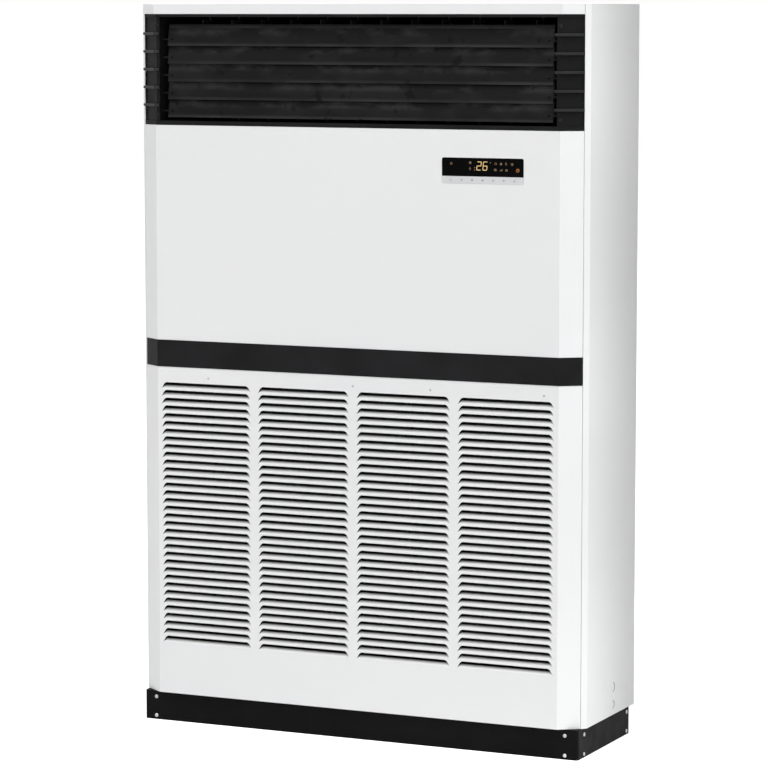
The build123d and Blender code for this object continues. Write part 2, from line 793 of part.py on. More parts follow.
for index, vane_x in enumerate(vane_places):
    with BuildPart() as vane:
        nose_y = face_y + vane_front
        tail_y = nose_y + vane_chord
        with BuildSketch(Plane.XY.offset(vane_bottom)):
            with BuildLine():
                # A slim teardrop: round nose, straight flanks, thin tail
                half = vane_thickness / 2
                shoulder_y = nose_y + vane_thickness
                nose = RadiusArc((vane_x - half, shoulder_y), (vane_x + half, shoulder_y),
                                 vane_nose * half)
                Polyline(nose @ 1, (vane_x + half, vane_pivot_y), (vane_x + half / 2, tail_y),
                         (vane_x - half / 2, tail_y), (vane_x - half, vane_pivot_y), nose @ 0)
            make_face()
        extrude(amount=vane_top - vane_bottom)
        # Hubs and pivot pins
        with BuildSketch(Plane.XY.offset(duct_floor + free)):
            with Locations((vane_x, vane_pivot_y)):
                Circle(vane_hub_radius)
        extrude(amount=vane_bottom - duct_floor - free + 2 * vane_hub_radius)
        with BuildSketch(Plane.XY.offset(duct_floor - wall - socket_depth / 2)):
            with Locations((vane_x, vane_pivot_y)):
                Circle(vane_pin_radius)
        extrude(amount=outlet_top - duct_floor + wall + socket_depth / 2)
        # Crank pin below the nose, for the link bar
        with BuildSketch(Plane.XY.offset(vane_link_z - free)):
            with Locations((vane_x, vane_crank_y)):
                Circle(crank_pin_radius)
        extrude(amount=vane_bottom + 2 * crank_pin_radius - vane_link_z + free)
    vane.part.label = f"vane_{index + 1:02d}"
    export_step(vane.part, f"parts/vane_{index + 1:02d}.step")

with BuildPart() as vane_link:
    with BuildSketch(Plane.XY.offset(vane_link_z)):
        add(round_slot(vane_places[-1] - vane_places[0] + 2 * link_width, link_width, (0, vane_crank_y)))
        with Locations([(x, vane_crank_y) for x in vane_places]):
            Circle(crank_pin_radius + running, mode=Mode.SUBTRACT)
    extrude(amount=link_thickness)
vane_link.part.label = "vane_link"
export_step(vane_link.part, "parts/vane_link.step")

with BuildPart() as swing_motors:
    # One turns the middle louvre blade, the other the last vane
    with BuildSketch(Plane.YZ.offset(outlet_half + frame_wall)):
        with Locations((blade_pivot_y, blade_pivots[blade_count // 2])):
            Circle(swing_motor_radius)
            Circle(blade_pin_radius + running, mode=Mode.SUBTRACT)
    extrude(amount=swing_motor_length)
    with BuildSketch(Plane.YZ.offset(outlet_half + frame_wall + socket_depth)):
        with Locations((blade_pivot_y, blade_pivots[blade_count // 2])):
            Circle(swing_motor_radius)
    extrude(amount=swing_motor_length - socket_depth)
    with BuildSketch(Plane.XY.offset(duct_floor - wall - swing_motor_length)):
        with Locations((vane_places[-1], vane_pivot_y)):
            Circle(swing_motor_radius)
    extrude(amount=swing_motor_length)
    with BuildSketch(Plane.XY.offset(duct_floor - wall)):
        with Locations((vane_places[-1], vane_pivot_y)):
            Circle(vane_pin_radius + running)
    extrude(amount=-socket_depth, mode=Mode.SUBTRACT)
swing_motors.part.label = "swing_motors"
export_step(swing_motors.part, "parts/swing_motors.step")

# ---------------------------------------------------------------- display and keys

key_places = [display_x + key_pitch * (i - (key_count - 1) / 2) for i in range(key_count)]
key_z = (display_middle + display_bottom) / 2

with BuildPart() as display_window:
    window_z = (display_top + display_middle) / 2
    with BuildSketch(Plane.XZ.offset(-face_y)):
        with Locations((display_x, window_z)):
            Rectangle(display_width, window_height)
    extrude(amount=-display_thickness)
    top_corners = display_window.edges().filter_by(Axis.Y).group_by(Axis.Z)[-1]
    fillet(top_corners, radius=display_corner)
    # Rim that lies against the inside of the panel
    with BuildSketch(Plane.XZ.offset(-face_y - sheet)):
        with Locations((display_x, window_z + display_rim / 2)):
            Rectangle(display_width + 2 * display_rim, window_height + display_rim)
    extrude(amount=-(display_thickness - sheet))
display_window.part.label = "display_window"
export_step(display_window.part, "parts/display_window.step")

with BuildPart() as key_strip:
    with BuildSketch(Plane.XZ.offset(-face_y)):
        with Locations((display_x, key_z)):
            Rectangle(display_width, strip_height)
    extrude(amount=-display_thickness)
    fillet(key_strip.edges().filter_by(Axis.Y).group_by(Axis.Z)[0], radius=display_corner)
    with BuildSketch(Plane.XZ.offset(-face_y - sheet)):
        with Locations((display_x, key_z - display_rim / 2)):
            Rectangle(display_width + 2 * display_rim, strip_height + display_rim)
    extrude(amount=-(display_thickness - sheet))
    with BuildSketch(Plane.XZ.offset(-face_y)):
        with Locations([(x, key_z) for x in key_places]):
            SlotOverall(key_width + 2 * key_clearance, key_height + 2 * key_clearance)
    extrude(amount=-display_thickness, mode=Mode.SUBTRACT)
key_strip.part.label = "key_strip"
export_step(key_strip.part, "parts/key_strip.step")

board_y = face_y + board_back
key_back = board_y - switch_height - key_travel - free

with BuildPart() as display_board:
    board_width = display_width - 2 * display_rim
    board_bottom = display_bottom + display_rim / 2
    board_top = display_top - display_rim
    board_z = (board_bottom + board_top) / 2
    with BuildSketch(Plane.XZ.offset(-board_y)):
        with Locations((display_x, board_z)):
            Rectangle(board_width, board_top - board_bottom)
    extrude(amount=-board_thickness)
    # Posts that hold the board off the window
    with BuildSketch(Plane.XZ.offset(-board_y)):
        for side in (-1, 1):
            post_x = display_x + side * (board_width / 2 - board_post_inset)
            with Locations((post_x, board_top - board_post_inset), (post_x, display_middle + display_rim)):
                Circle(board_post_radius)
    extrude(amount=board_y - face_y - display_thickness)
    # Digit block behind the glass, and one switch behind each key
    with BuildSketch(Plane.XZ.offset(-board_y)):
        with Locations((display_x, window_z)):
            Rectangle(digit_block_width, digit_block_height)
    extrude(amount=board_y - face_y - display_thickness)
    with BuildSketch(Plane.XZ.offset(-board_y)):
        with Locations([(x, key_z) for x in key_places]):
            Rectangle(switch_width, switch_width)
    extrude(amount=switch_height)
display_board.part.label = "display_board"
export_step(display_board.part, "parts/display_board.step")

for index, key_x in enumerate(key_places):
    with BuildPart() as key:
        with BuildSketch(Plane.XZ.offset(-face_y)):
            with Locations((key_x, key_z)):
                SlotOverall(key_width, key_height)
        extrude(amount=-(key_back - face_y))
        # Rim that keeps it behind the strip
        with BuildSketch(Plane.XZ.offset(-face_y - display_thickness - free)):
            with Locations((key_x, key_z)):
                SlotOverall(key_width + 2 * key_rim, key_height + 2 * key_rim)
        extrude(amount=-key_rim)
    key.part.label = f"key_{index + 1}"
    export_step(key.part, f"parts/key_{index + 1}.step")

# ---------------------------------------------------------------- fan deck and scroll housings

scroll_centre = (fan_y, fan_z)
volute_radii = [scroll_radius + scroll_step * quadrant for quadrant in range(3)]
volute_centres = [(fan_y - scroll_step / 2, fan_z - scroll_step / 2),
                  (fan_y + scroll_step / 2, fan_z - scroll_step / 2),
                  (fan_y + scroll_step / 2, fan_z + scroll_step / 2)]
tongue_y = volute_centres[0][0] + volute_radii[0] * cos(radians(tongue_angle))
throat_rear_y = volute_centres[2][0] + volute_radii[2]
throat_middle_y = (tongue_y + throat_rear_y) / 2
throat_depth = throat_rear_y - tongue_y


def volute(inset, top_z):
    """Section of the scroll, drawn with three quadrant arcs and its discharge."""
    with BuildSketch() as section:
        with BuildLine():
            first = CenterArc(volute_centres[0], volute_radii[0] - inset, tongue_angle, 180 - tongue_angle)
            CenterArc(volute_centres[1], volute_radii[1] - inset, 180, 90)
            last = CenterArc(volute_centres[2], volute_radii[2] - inset, 270, 90)
            lip = (tongue_y + inset, (first @ 0).Y)
            Polyline(last @ 1, (throat_rear_y - inset, top_z), (tongue_y + inset, top_z), lip)
            if inset:
                Line(lip, first @ 0)
        make_face()
    return section.sketch


with BuildPart() as deck_sheet:
    with BuildSketch(Plane.XY.offset(deck_bottom)):
        with BuildLine():
            corner_y = face_y + bevel_depth + corner_depth + fold_room
            belt_rear_y = front_y + belt_wall
            right_edge = [
                (face_half - belt_wall, belt_rear_y),
                (bevel_half - belt_wall, belt_rear_y + bevel_depth + bend),
                (inner_half, corner_y), (inner_half, inner_rear - bend),
                (inner_half - bend, inner_rear),
            ]
            left_edge = [(-x, y) for x, y in reversed(right_edge)]
            Polyline(*right_edge, *left_edge, close=True)
        make_face()
        # Holes for the pipes and the drain spigot
        with Locations((pipe_x, gas_pipe_y)):
            Circle(gas_pipe_radius + pipe_hole_clearance, mode=Mode.SUBTRACT)
        with Locations((pipe_x, liquid_pipe_y)):
            Circle(liquid_pipe_radius + pipe_hole_clearance, mode=Mode.SUBTRACT)
        with Locations((spigot_x, (pan_front + pan_rear) / 2)):
            Circle(spigot_radius + free, mode=Mode.SUBTRACT)
    extrude(amount=wall)

# The deck is spot-welded from a front and a rear strip with three plates between them,
# so that the two throats stay open.
throat_front = throat_middle_y - throat_depth / 2 + wall
throat_rear = throat_middle_y + throat_depth / 2 - wall
throat_inner = fan_x - scroll_width / 2 + wall
throat_outer = fan_x + scroll_width / 2 - wall
deck_plates = [
    (-inner_half, inner_half, front_y, throat_front),
    (-inner_half, inner_half, throat_rear, inner_rear),
    (-inner_half, -throat_outer, throat_front, throat_rear),
    (-throat_inner, throat_inner, throat_front, throat_rear),
    (throat_outer, inner_half, throat_front, throat_rear),
]
deck_pieces = []
for left, right, front, rear in deck_plates:
    with BuildPart() as deck_piece:
        add(deck_sheet.part)
        with BuildSketch(Plane.XY.offset(deck_bottom)):
            with Locations(((left + right) / 2, (front + rear) / 2)):
                Rectangle(right - left, rear - front)
        extrude(amount=wall, mode=Mode.INTERSECT)
    deck_pieces.append(deck_piece.part)

fan_deck = Compound(children=deck_pieces)
fan_deck.label = "fan_deck"
export_step(fan_deck, "parts/fan_deck.step")

with BuildPart() as scroll_wrap:
    # Scroll sheet that stands between the two side plates
    with BuildSketch(Plane.YZ.offset(-scroll_width / 2 + wall)):
        add(volute(0, deck_bottom))
        add(volute(wall, deck_bottom), mode=Mode.SUBTRACT)
    extrude(amount=scroll_width - 2 * wall)

with BuildPart() as scroll_side:
    # Side plate with its inlet
    with BuildSketch(Plane.YZ.offset(scroll_width / 2 - wall)):
        add(volute(0, deck_bottom))
        with Locations(scroll_centre):
            Circle(scroll_inlet_radius, mode=Mode.SUBTRACT)
    extrude(amount=wall)

with BuildPart() as bell_mouth:
    # Spun ring behind the inlet, on the inside of the side plate
    mouth_x = scroll_width / 2 - wall
    with BuildSketch(Plane.XY.offset(fan_z)):
        with BuildLine():
            Polyline(
                (mouth_x, fan_y + scroll_inlet_radius),
                (mouth_x - bell_depth, fan_y + scroll_inlet_radius - 2 * wall),
                (mouth_x - bell_depth, fan_y + scroll_inlet_radius - wall),
                (mouth_x, fan_y + scroll_inlet_radius + wall),
                close=True,
            )
        make_face()
    revolve(axis=Axis((0, fan_y, fan_z), (1, 0, 0)))

with BuildPart() as scroll_collar:
    # Flange round the discharge, bolted to the underside of the deck
    with BuildSketch(Plane.XY.offset(deck_bottom - wall)):
        with Locations((0, throat_middle_y)):
            Rectangle(scroll_width + 2 * scroll_flange, throat_depth + 2 * scroll_flange)
            Rectangle(scroll_width, throat_depth, mode=Mode.SUBTRACT)
    extrude(amount=wall)

inlet_side = [scroll_side.part, bell_mouth.part]
other_side = [piece.mirror(Plane.YZ) for piece in inlet_side]

for side, name in ((-1, "fan_housing_left"), (1, "fan_housing_right")):
    housing = Compound(children=[scroll_wrap.part, *inlet_side, *other_side, scroll_collar.part])
    housing = housing.moved(Location((side * fan_x, 0, 0)))
    housing.label = name
    export_step(housing, f"parts/{name}.step")

# ---------------------------------------------------------------- fan rotor, motor and bearings

with BuildPart() as fan_shaft:
    with BuildSketch(Plane.YZ.offset(-shaft_half_length)):
        with Locations(scroll_centre):
            Circle(shaft_radius)
    extrude(amount=2 * shaft_half_length)
    chamfer(fan_shaft.edges().filter_by(GeomType.CIRCLE), length=shaft_chamfer)
fan_shaft.part.label = "fan_shaft"
export_step(fan_shaft.part, "parts/fan_shaft.step")

with BuildPart() as wheel_disc:
    # Centre disc with its hub and bore
    with BuildSketch(Plane.YZ.offset(-wheel_plate / 2)):
        Circle(wheel_radius)
    extrude(amount=wheel_plate)
    with BuildSketch(Plane.YZ.offset(-hub_length / 2)):
        Circle(hub_radius)
    extrude(amount=hub_length)
    with BuildSketch(Plane.YZ.offset(-hub_length / 2)):
        Circle(shaft_radius + fit)
    extrude(amount=hub_length, mode=Mode.SUBTRACT)

with BuildPart() as wheel_end_ring:
    # Ring that closes the blade tips on one side
    with BuildSketch(Plane.YZ.offset(wheel_width / 2 - wheel_ring)):
        Circle(wheel_radius)
        Circle(wheel_inner_radius, mode=Mode.SUBTRACT)
    extrude(amount=wheel_ring)

with BuildPart() as wheel_blade:
    # Blade from the disc to the ring: flat in front, bellied behind
    with BuildSketch(Plane.YZ.offset(wheel_plate / 2)):
        with BuildLine():
            start = wheel_inner_radius + wheel_rim
            end = wheel_radius - wheel_rim
            third = (end - start) / 3
            Polyline(
                (start, 0),
                (start + third, wheel_blade_lead / 3 - wheel_blade_belly),
                (end - third, wheel_blade_lead * 2 / 3 - wheel_blade_belly),
                (end, wheel_blade_lead),
                (end, wheel_blade_lead + wheel_blade_edge),
                (start, wheel_blade_edge),
                close=True,
            )
        make_face()
    extrude(amount=wheel_width / 2 - wheel_ring - wheel_plate / 2)

blade_turns = [360 / wheel_blades * index for index in range(wheel_blades)]
half_wheel = [wheel_end_ring.part] + [wheel_blade.part.rotate(Axis.X, turn) for turn in blade_turns]
other_half = [piece.mirror(Plane.YZ) for piece in half_wheel]

for side, name in ((-1, "fan_wheel_left"), (1, "fan_wheel_right")):
    wheel = Compound(children=[wheel_disc.part, *half_wheel, *other_half])
    wheel = wheel.moved(Location((side * fan_x, fan_y, fan_z)))
    wheel.label = name
    export_step(wheel, f"parts/{name}.step")

with BuildPart() as fan_motor:
    with BuildSketch(Plane.YZ.offset(-motor_half_length)):
        with Locations(scroll_centre):
            Circle(motor_radius)
    extrude(amount=2 * motor_half_length)
    fillet(fan_motor.edges().filter_by(GeomType.CIRCLE), radius=motor_rounding)
    # Bearing bosses at both ends, and the bore for the shaft
    for end in (-1, 1):
        with BuildSketch(Plane.YZ.offset(end * motor_half_length)):
            with Locations(scroll_centre):
                Circle(hub_radius)
        extrude(amount=end * motor_boss)
    with BuildSketch(Plane.YZ.offset(-motor_half_length - motor_boss)):
        with Locations(scroll_centre):
            Circle(shaft_radius + running)
    extrude(amount=2 * (motor_half_length + motor_boss), mode=Mode.SUBTRACT)
fan_motor.part.label = "fan_motor"
export_step(fan_motor.part, "parts/fan_motor.step")

with BuildPart() as motor_hanger:
    # Two saddle plates under one top plate, bolted to the deck
    saddle_bottom = fan_z - motor_radius - hanger_margin
    window_bottom = fan_z + motor_radius + hanger_window_margin
    window_top = deck_bottom - hanger_window_margin
    for side in (-1, 1):
        with BuildSketch(Plane.YZ.offset(side * hanger_x - hanger_sheet / 2)):
            with Locations((fan_y, (saddle_bottom + deck_bottom) / 2)):
                Rectangle(2 * (motor_radius + hanger_margin), deck_bottom - saddle_bottom)
            with Locations(scroll_centre):
                Circle(motor_radius + free, mode=Mode.SUBTRACT)
            with Locations((fan_y, (window_bottom + window_top) / 2)):
                RectangleRounded(2 * motor_radius - hanger_window_margin, window_top - window_bottom,
                                 hanger_window_corner, mode=Mode.SUBTRACT)
        extrude(amount=hanger_sheet)
    with BuildSketch(Plane.XY.offset(deck_bottom - hanger_sheet)):
        with Locations((0, fan_y)):
            Rectangle(2 * hanger_x + hanger_sheet, 2 * (motor_radius + hanger_margin))
    extrude(amount=hanger_sheet)
motor_hanger.part.label = "motor_hanger"
export_step(motor_hanger.part, "parts/motor_hanger.step")

with BuildPart() as shaft_bearings:
    for side in (-1, 1):
        with BuildSketch(Plane.YZ.offset(side * bearing_x - bearing_width / 2)):
            with Locations(scroll_centre):
                Circle(bearing_radius)
        extrude(amount=bearing_width)
        with BuildSketch(Plane.YZ.offset(side * bearing_x - hanger_sheet / 2)):
            with Locations((fan_y, (fan_z + deck_bottom) / 2)):
                Rectangle(2 * bearing_radius, deck_bottom - fan_z)
        extrude(amount=hanger_sheet)
        with BuildSketch(Plane.XY.offset(deck_bottom - hanger_sheet)):
            with Locations((side * bearing_x, fan_y)):
                Rectangle(bearing_width, 3 * bearing_radius)
        extrude(amount=hanger_sheet)
        with BuildSketch(Plane.YZ.offset(side * bearing_x - bearing_width / 2)):
            with Locations(scroll_centre):
                Circle(shaft_radius + running)
        extrude(amount=bearing_width, mode=Mode.SUBTRACT)
shaft_bearings.part.label = "shaft_bearings"
export_step(shaft_bearings.part, "parts/shaft_bearings.step")

# ---------------------------------------------------------------- coil, drain pan and pipes

coil_rise = coil_upper_z - coil_lower_z
coil_run = coil_upper_y - coil_lower_y
coil_angle = atan2(coil_rise, coil_run)
coil_length = hypot(coil_rise, coil_run) - coil_end_space
coil_mid_y = (coil_lower_y + coil_upper_y) / 2
coil_mid_z = (coil_lower_z + coil_upper_z) / 2
coil_turn = degrees(coil_angle) - 90


def along_coil(distance, across=0.0):
    """Point (y, z) at a distance up the coil from its middle."""
    return (coil_mid_y + distance * cos(coil_angle) - across * sin(coil_angle),
            coil_mid_z + distance * sin(coil_angle) + across * cos(coil_angle))


with BuildPart() as evaporator_coil:
    with BuildSketch(Plane.YZ.offset(-coil_half)):
        with Locations(Location((coil_mid_y, coil_mid_z, 0), (0, 0, coil_turn))):
            Rectangle(coil_thickness, coil_length)
    extrude(amount=2 * coil_half)
evaporator_coil.part.label = "evaporator_coil"
export_step(evaporator_coil.part, "parts/evaporator_coil.step")

with BuildPart() as coil_end_plates:
    foot_front = pan_front + 2 * wall
    foot_rear = pan_rear - 2 * wall
    for side in (-1, 1):
        with BuildSketch(Plane.YZ.offset(side * coil_half)):
            with Locations(Location((coil_mid_y, coil_mid_z, 0), (0, 0, coil_turn))):
                Rectangle(coil_thickness + 2 * coil_plate_margin, coil_length)
            # Foot that stands in the drain pan, and tab to the back panel
            foot_bottom = deck_top + wall
            foot_top = coil_lower_z + coil_plate_margin
            with Locations(((foot_front + foot_rear) / 2, (foot_bottom + foot_top) / 2)):
                Rectangle(foot_rear - foot_front, foot_top - foot_bottom)
            with Locations(((coil_upper_y + rear_y - sheet) / 2, coil_upper_z - coil_thickness)):
                Rectangle(rear_y - sheet - coil_upper_y, coil_thickness)
        extrude(amount=side * coil_plate)
coil_end_plates.part.label = "coil_end_plates"
export_step(coil_end_plates.part, "parts/coil_end_plates.step")

with BuildPart() as coil_bends:
    plate_face = coil_half + coil_plate
    for start in bend_starts:
        # One U bend between two tube rows, in the plane of the coil and X
        bend_y, bend_z = along_coil(start + bend_pitch / 2)
        bend_plane = Plane(origin=(plate_face, bend_y, bend_z), x_dir=(0, cos(coil_angle), sin(coil_angle)),
                           z_dir=(0, -sin(coil_angle), cos(coil_angle)))
        with BuildLine(bend_plane) as bend_path:
            reach = bend_pitch / 2
            leg_out = Line((-reach, 0), (-reach, -bend_straight))
            turn = RadiusArc(leg_out @ 1, (reach, -bend_straight), -reach)
            Line(turn @ 1, (reach, 0))
        with BuildSketch(Plane(origin=bend_path.line @ 0, z_dir=bend_path.line % 0)):
            Circle(tube_radius)
        sweep(path=bend_path.line)
coil_bends.part.label = "coil_bends"
export_step(coil_bends.part, "parts/coil_bends.step")

with BuildPart() as drain_pan:
    pan_mid_y = (pan_front + pan_rear) / 2
    with BuildSketch(Plane.XY.offset(deck_top)):
        with Locations((0, pan_mid_y)):
            Rectangle(2 * pan_half, pan_rear - pan_front)
    extrude(amount=pan_height)
    with BuildSketch(Plane.XY.offset(deck_top + wall)):
        with Locations((0, pan_mid_y)):
            Rectangle(2 * (pan_half - wall), pan_rear - pan_front - 2 * wall)
    extrude(amount=pan_height, mode=Mode.SUBTRACT)
    with BuildSketch(Plane.XY.offset(deck_top)):
        with Locations((spigot_x, pan_mid_y)):
            Circle(spigot_radius)
    extrude(amount=-spigot_length)
    with BuildSketch(Plane.XY.offset(deck_top + wall)):
        with Locations((spigot_x, pan_mid_y)):
            Circle(spigot_radius - wall)
    extrude(amount=-spigot_length - wall, mode=Mode.SUBTRACT)
drain_pan.part.label = "drain_pan"
export_step(drain_pan.part, "parts/drain_pan.step")

with BuildPart() as refrigerant_pipes:
    for pipe_y, pipe_radius in ((gas_pipe_y, gas_pipe_radius), (liquid_pipe_y, liquid_pipe_radius)):
        header_z = along_coil((pipe_y - coil_mid_y) / cos(coil_angle))[1]
        with BuildLine() as pipe_path:
            FilletPolyline((plate_face, pipe_y, header_z), (pipe_x, pipe_y, header_z),
                           (pipe_x, pipe_y, pipe_end_z), radius=pipe_bend)
        with BuildSketch(Plane.YZ.offset(plate_face)):
            with Locations((pipe_y, header_z)):
                Circle(pipe_radius)
        sweep(path=pipe_path.line)
        # Flare nut on the lower end
        with BuildSketch(Plane.XY.offset(pipe_end_z)):
            with Locations((pipe_x, pipe_y)):
                RegularPolygon(pipe_radius * nut_share, 6)
        extrude(amount=nut_height)
refrigerant_pipes.part.label = "refrigerant_pipes"
export_step(refrigerant_pipes.part, "parts/refrigerant_pipes.step")

with BuildPart() as electrical_box:
    box_rear = rear_y - bead_depth
    with BuildSketch(Plane.XZ.offset(-box_rear)):
        with Locations((box_x, box_bottom + box_height / 2)):
            Rectangle(box_width, box_height)
    extrude(amount=box_depth)
    with BuildSketch(Plane.XZ.offset(-box_rear + wall)):
        with Locations((box_x, box_bottom + box_height / 2)):
            Rectangle(box_width - 2 * wall, box_height - 2 * wall)
    extrude(amount=box_depth, mode=Mode.SUBTRACT)
    # Lid with its overlapping rim
    with BuildSketch(Plane.XZ.offset(-(box_rear - box_depth))):
        with Locations((box_x, box_bottom + box_height / 2)):
            RectangleRounded(box_width + 2 * wall, box_height + 2 * wall, box_lid_corner)
    extrude(amount=wall)
electrical_box.part.label = "electrical_box"
export_step(electrical_box.part, "parts/electrical_box.step")

# ---------------------------------------------------------------- filters and their rails

filter_front_y = face_y + filter_back
filter_outer = louvre_column_pitch * louvre_columns / 2 + filter_side_cover
filter_inner = rail_wall / 2 + free
rail_front_y = filter_front_y - free - rail_wall
rail_depth = filter_thickness + 2 * free + 2 * rail_wall

with BuildPart() as filter_rails:
    # A channel down each side and a two-sided one in the middle
    rail_height = deck_bottom - base_height
    rail_mid_y = rail_front_y + rail_depth / 2
    for rail_x, rail_width in ((-filter_outer, rail_grip), (0, 2 * rail_grip), (filter_outer, rail_grip)):
        inward = -rail_x / abs(rail_x) if rail_x else 0
        rail_mid_x = rail_x + inward * (rail_width / 2 - rail_wall - free)
        with BuildSketch(Plane.XY.offset(base_height)):
            with Locations((rail_mid_x, rail_mid_y)):
                Rectangle(rail_width, rail_depth)
            channel_width = rail_width if rail_x else rail_width / 2
            for slot_side in ((inward,) if rail_x else (-1, 1)):
                slot_x = rail_x + slot_side * (channel_width / 2 + (-free if rail_x else filter_inner))
                with Locations((slot_x, rail_mid_y)):
                    Rectangle(channel_width, filter_thickness + 2 * free, mode=Mode.SUBTRACT)
        extrude(amount=rail_height)
        # Stop that the filters stand on
        with BuildSketch(Plane.XY.offset(filter_bottom - free - filter_frame)):
            with Locations((rail_mid_x, rail_mid_y)):
                Rectangle(rail_width, rail_depth)
        extrude(amount=filter_frame)
filter_rails.part.label = "filter_rails"
export_step(filter_rails.part, "parts/filter_rails.step")

for side, name in ((-1, "air_filter_left"), (1, "air_filter_right")):
    with BuildPart() as air_filter:
        filter_width = filter_outer - filter_inner
        filter_height = filter_top - filter_bottom
        filter_mid = (side * (filter_outer + filter_inner) / 2, (filter_top + filter_bottom) / 2)
        with BuildSketch(Plane.XZ.offset(-filter_front_y)):
            with Locations(filter_mid):
                Rectangle(filter_width, filter_height)
                Rectangle(filter_width - 2 * filter_frame, filter_height - 2 * filter_frame,
                          mode=Mode.SUBTRACT)
                with GridLocations((filter_width - filter_frame) / (filter_bars + 1), 0, filter_bars, 1):
                    Rectangle(filter_frame / 2, filter_height)
                Rectangle(filter_width, filter_frame / 2)
        extrude(amount=-filter_thickness)
        with BuildSketch(Plane.XZ.offset(-(filter_front_y + filter_thickness / 2))):
            with Locations(filter_mid):
                Rectangle(filter_width - filter_frame, filter_height - filter_frame)
        extrude(amount=-filter_mesh)
    air_filter.part.label = name
    export_step(air_filter.part, f"parts/{name}.step")

# ---------------------------------------------------------------- screws

base_screw_x = base_half - base_screw_inset
bracket_screw_x = outlet_half + bracket_screw_side
back_screw_x = side_half - back_screw_inset
back_screw_pitch = (height - back_screw_top - base_height - back_screw_bottom) / (back_screw_rows - 1)
back_screw_levels = [base_height + back_screw_bottom + back_screw_pitch * row
                     for row in range(back_screw_rows)]

screw_seats_front = [(x, z) for x in (-base_screw_x, base_screw_x) for z in base_screw_levels]
screw_seats_side = [(y, z) for y in (base_front + side_screw_front, base_rear - side_screw_rear)
                    for z in side_screw_levels]
bracket_screws = [(x, z) for x in (-bracket_screw_x, bracket_screw_x)
                  for z in (outlet_top - bracket_screw_top, outlet_bottom + bracket_screw_bottom)]
back_screws = [(x, z) for x in (-back_screw_x, back_screw_x) for z in back_screw_levels]


def screw_heads(plane, seats):
    """Pan heads that stand on a plane at the given seats."""
    with BuildSketch(plane) as seat:
        with Locations(seats):
            Circle(screw_radius)
    return extrude(seat.sketch, amount=screw_head, taper=screw_taper, mode=Mode.PRIVATE)


with BuildPart() as cabinet_screws:
    add(screw_heads(Plane.XZ.offset(-base_front), screw_seats_front))
    add(screw_heads(Plane.YZ.offset(base_half), screw_seats_side))
    add(screw_heads(Plane.YZ.offset(base_half), screw_seats_side).mirror(Plane.YZ))
    add(screw_heads(Plane.XZ.offset(-rear_y), back_screws).mirror(Plane.XZ.offset(-rear_y)))
    add(screw_heads(Plane.XZ.offset(-(face_y + frame_recess)), bracket_screws))
cabinet_screws.part.label = "cabinet_screws"
export_step(cabinet_screws.part, "parts/cabinet_screws.step")
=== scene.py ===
import json
import math

import bmesh
import bpy
from mathutils import Matrix, Vector


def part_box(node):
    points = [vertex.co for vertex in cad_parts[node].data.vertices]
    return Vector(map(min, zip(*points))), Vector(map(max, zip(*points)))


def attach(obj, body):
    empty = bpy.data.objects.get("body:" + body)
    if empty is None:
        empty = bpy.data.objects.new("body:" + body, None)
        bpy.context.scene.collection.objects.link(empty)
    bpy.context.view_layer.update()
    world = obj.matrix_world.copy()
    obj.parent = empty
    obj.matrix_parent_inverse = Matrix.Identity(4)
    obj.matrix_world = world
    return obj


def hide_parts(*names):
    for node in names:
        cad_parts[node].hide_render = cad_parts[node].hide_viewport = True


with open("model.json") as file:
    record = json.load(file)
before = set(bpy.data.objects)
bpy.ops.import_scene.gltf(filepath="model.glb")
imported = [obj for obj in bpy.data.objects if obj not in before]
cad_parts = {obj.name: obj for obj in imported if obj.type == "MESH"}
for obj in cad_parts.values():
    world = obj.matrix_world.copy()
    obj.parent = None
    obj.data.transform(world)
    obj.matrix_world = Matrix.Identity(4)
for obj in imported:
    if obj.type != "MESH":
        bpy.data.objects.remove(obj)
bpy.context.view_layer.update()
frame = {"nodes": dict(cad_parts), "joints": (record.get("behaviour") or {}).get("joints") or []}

# Looks of a floor standing air conditioner. Metres, in the CAD model's own frame:
# the front looks along -Y, +X is to the viewer's right, the floor is z = 0.

nodes = frame["nodes"]


# ---------------------------------------------------------------- colours


def srgb(red, green, blue):
    """A colour given as 0 to 255 screen values, as Blender's linear colour."""
    linear = []
    for value in (red, green, blue):
        value /= 255
        linear.append(value / 12.92 if value <= 0.04045 else ((value + 0.055) / 1.055) ** 2.4)
    return (*linear, 1.0)


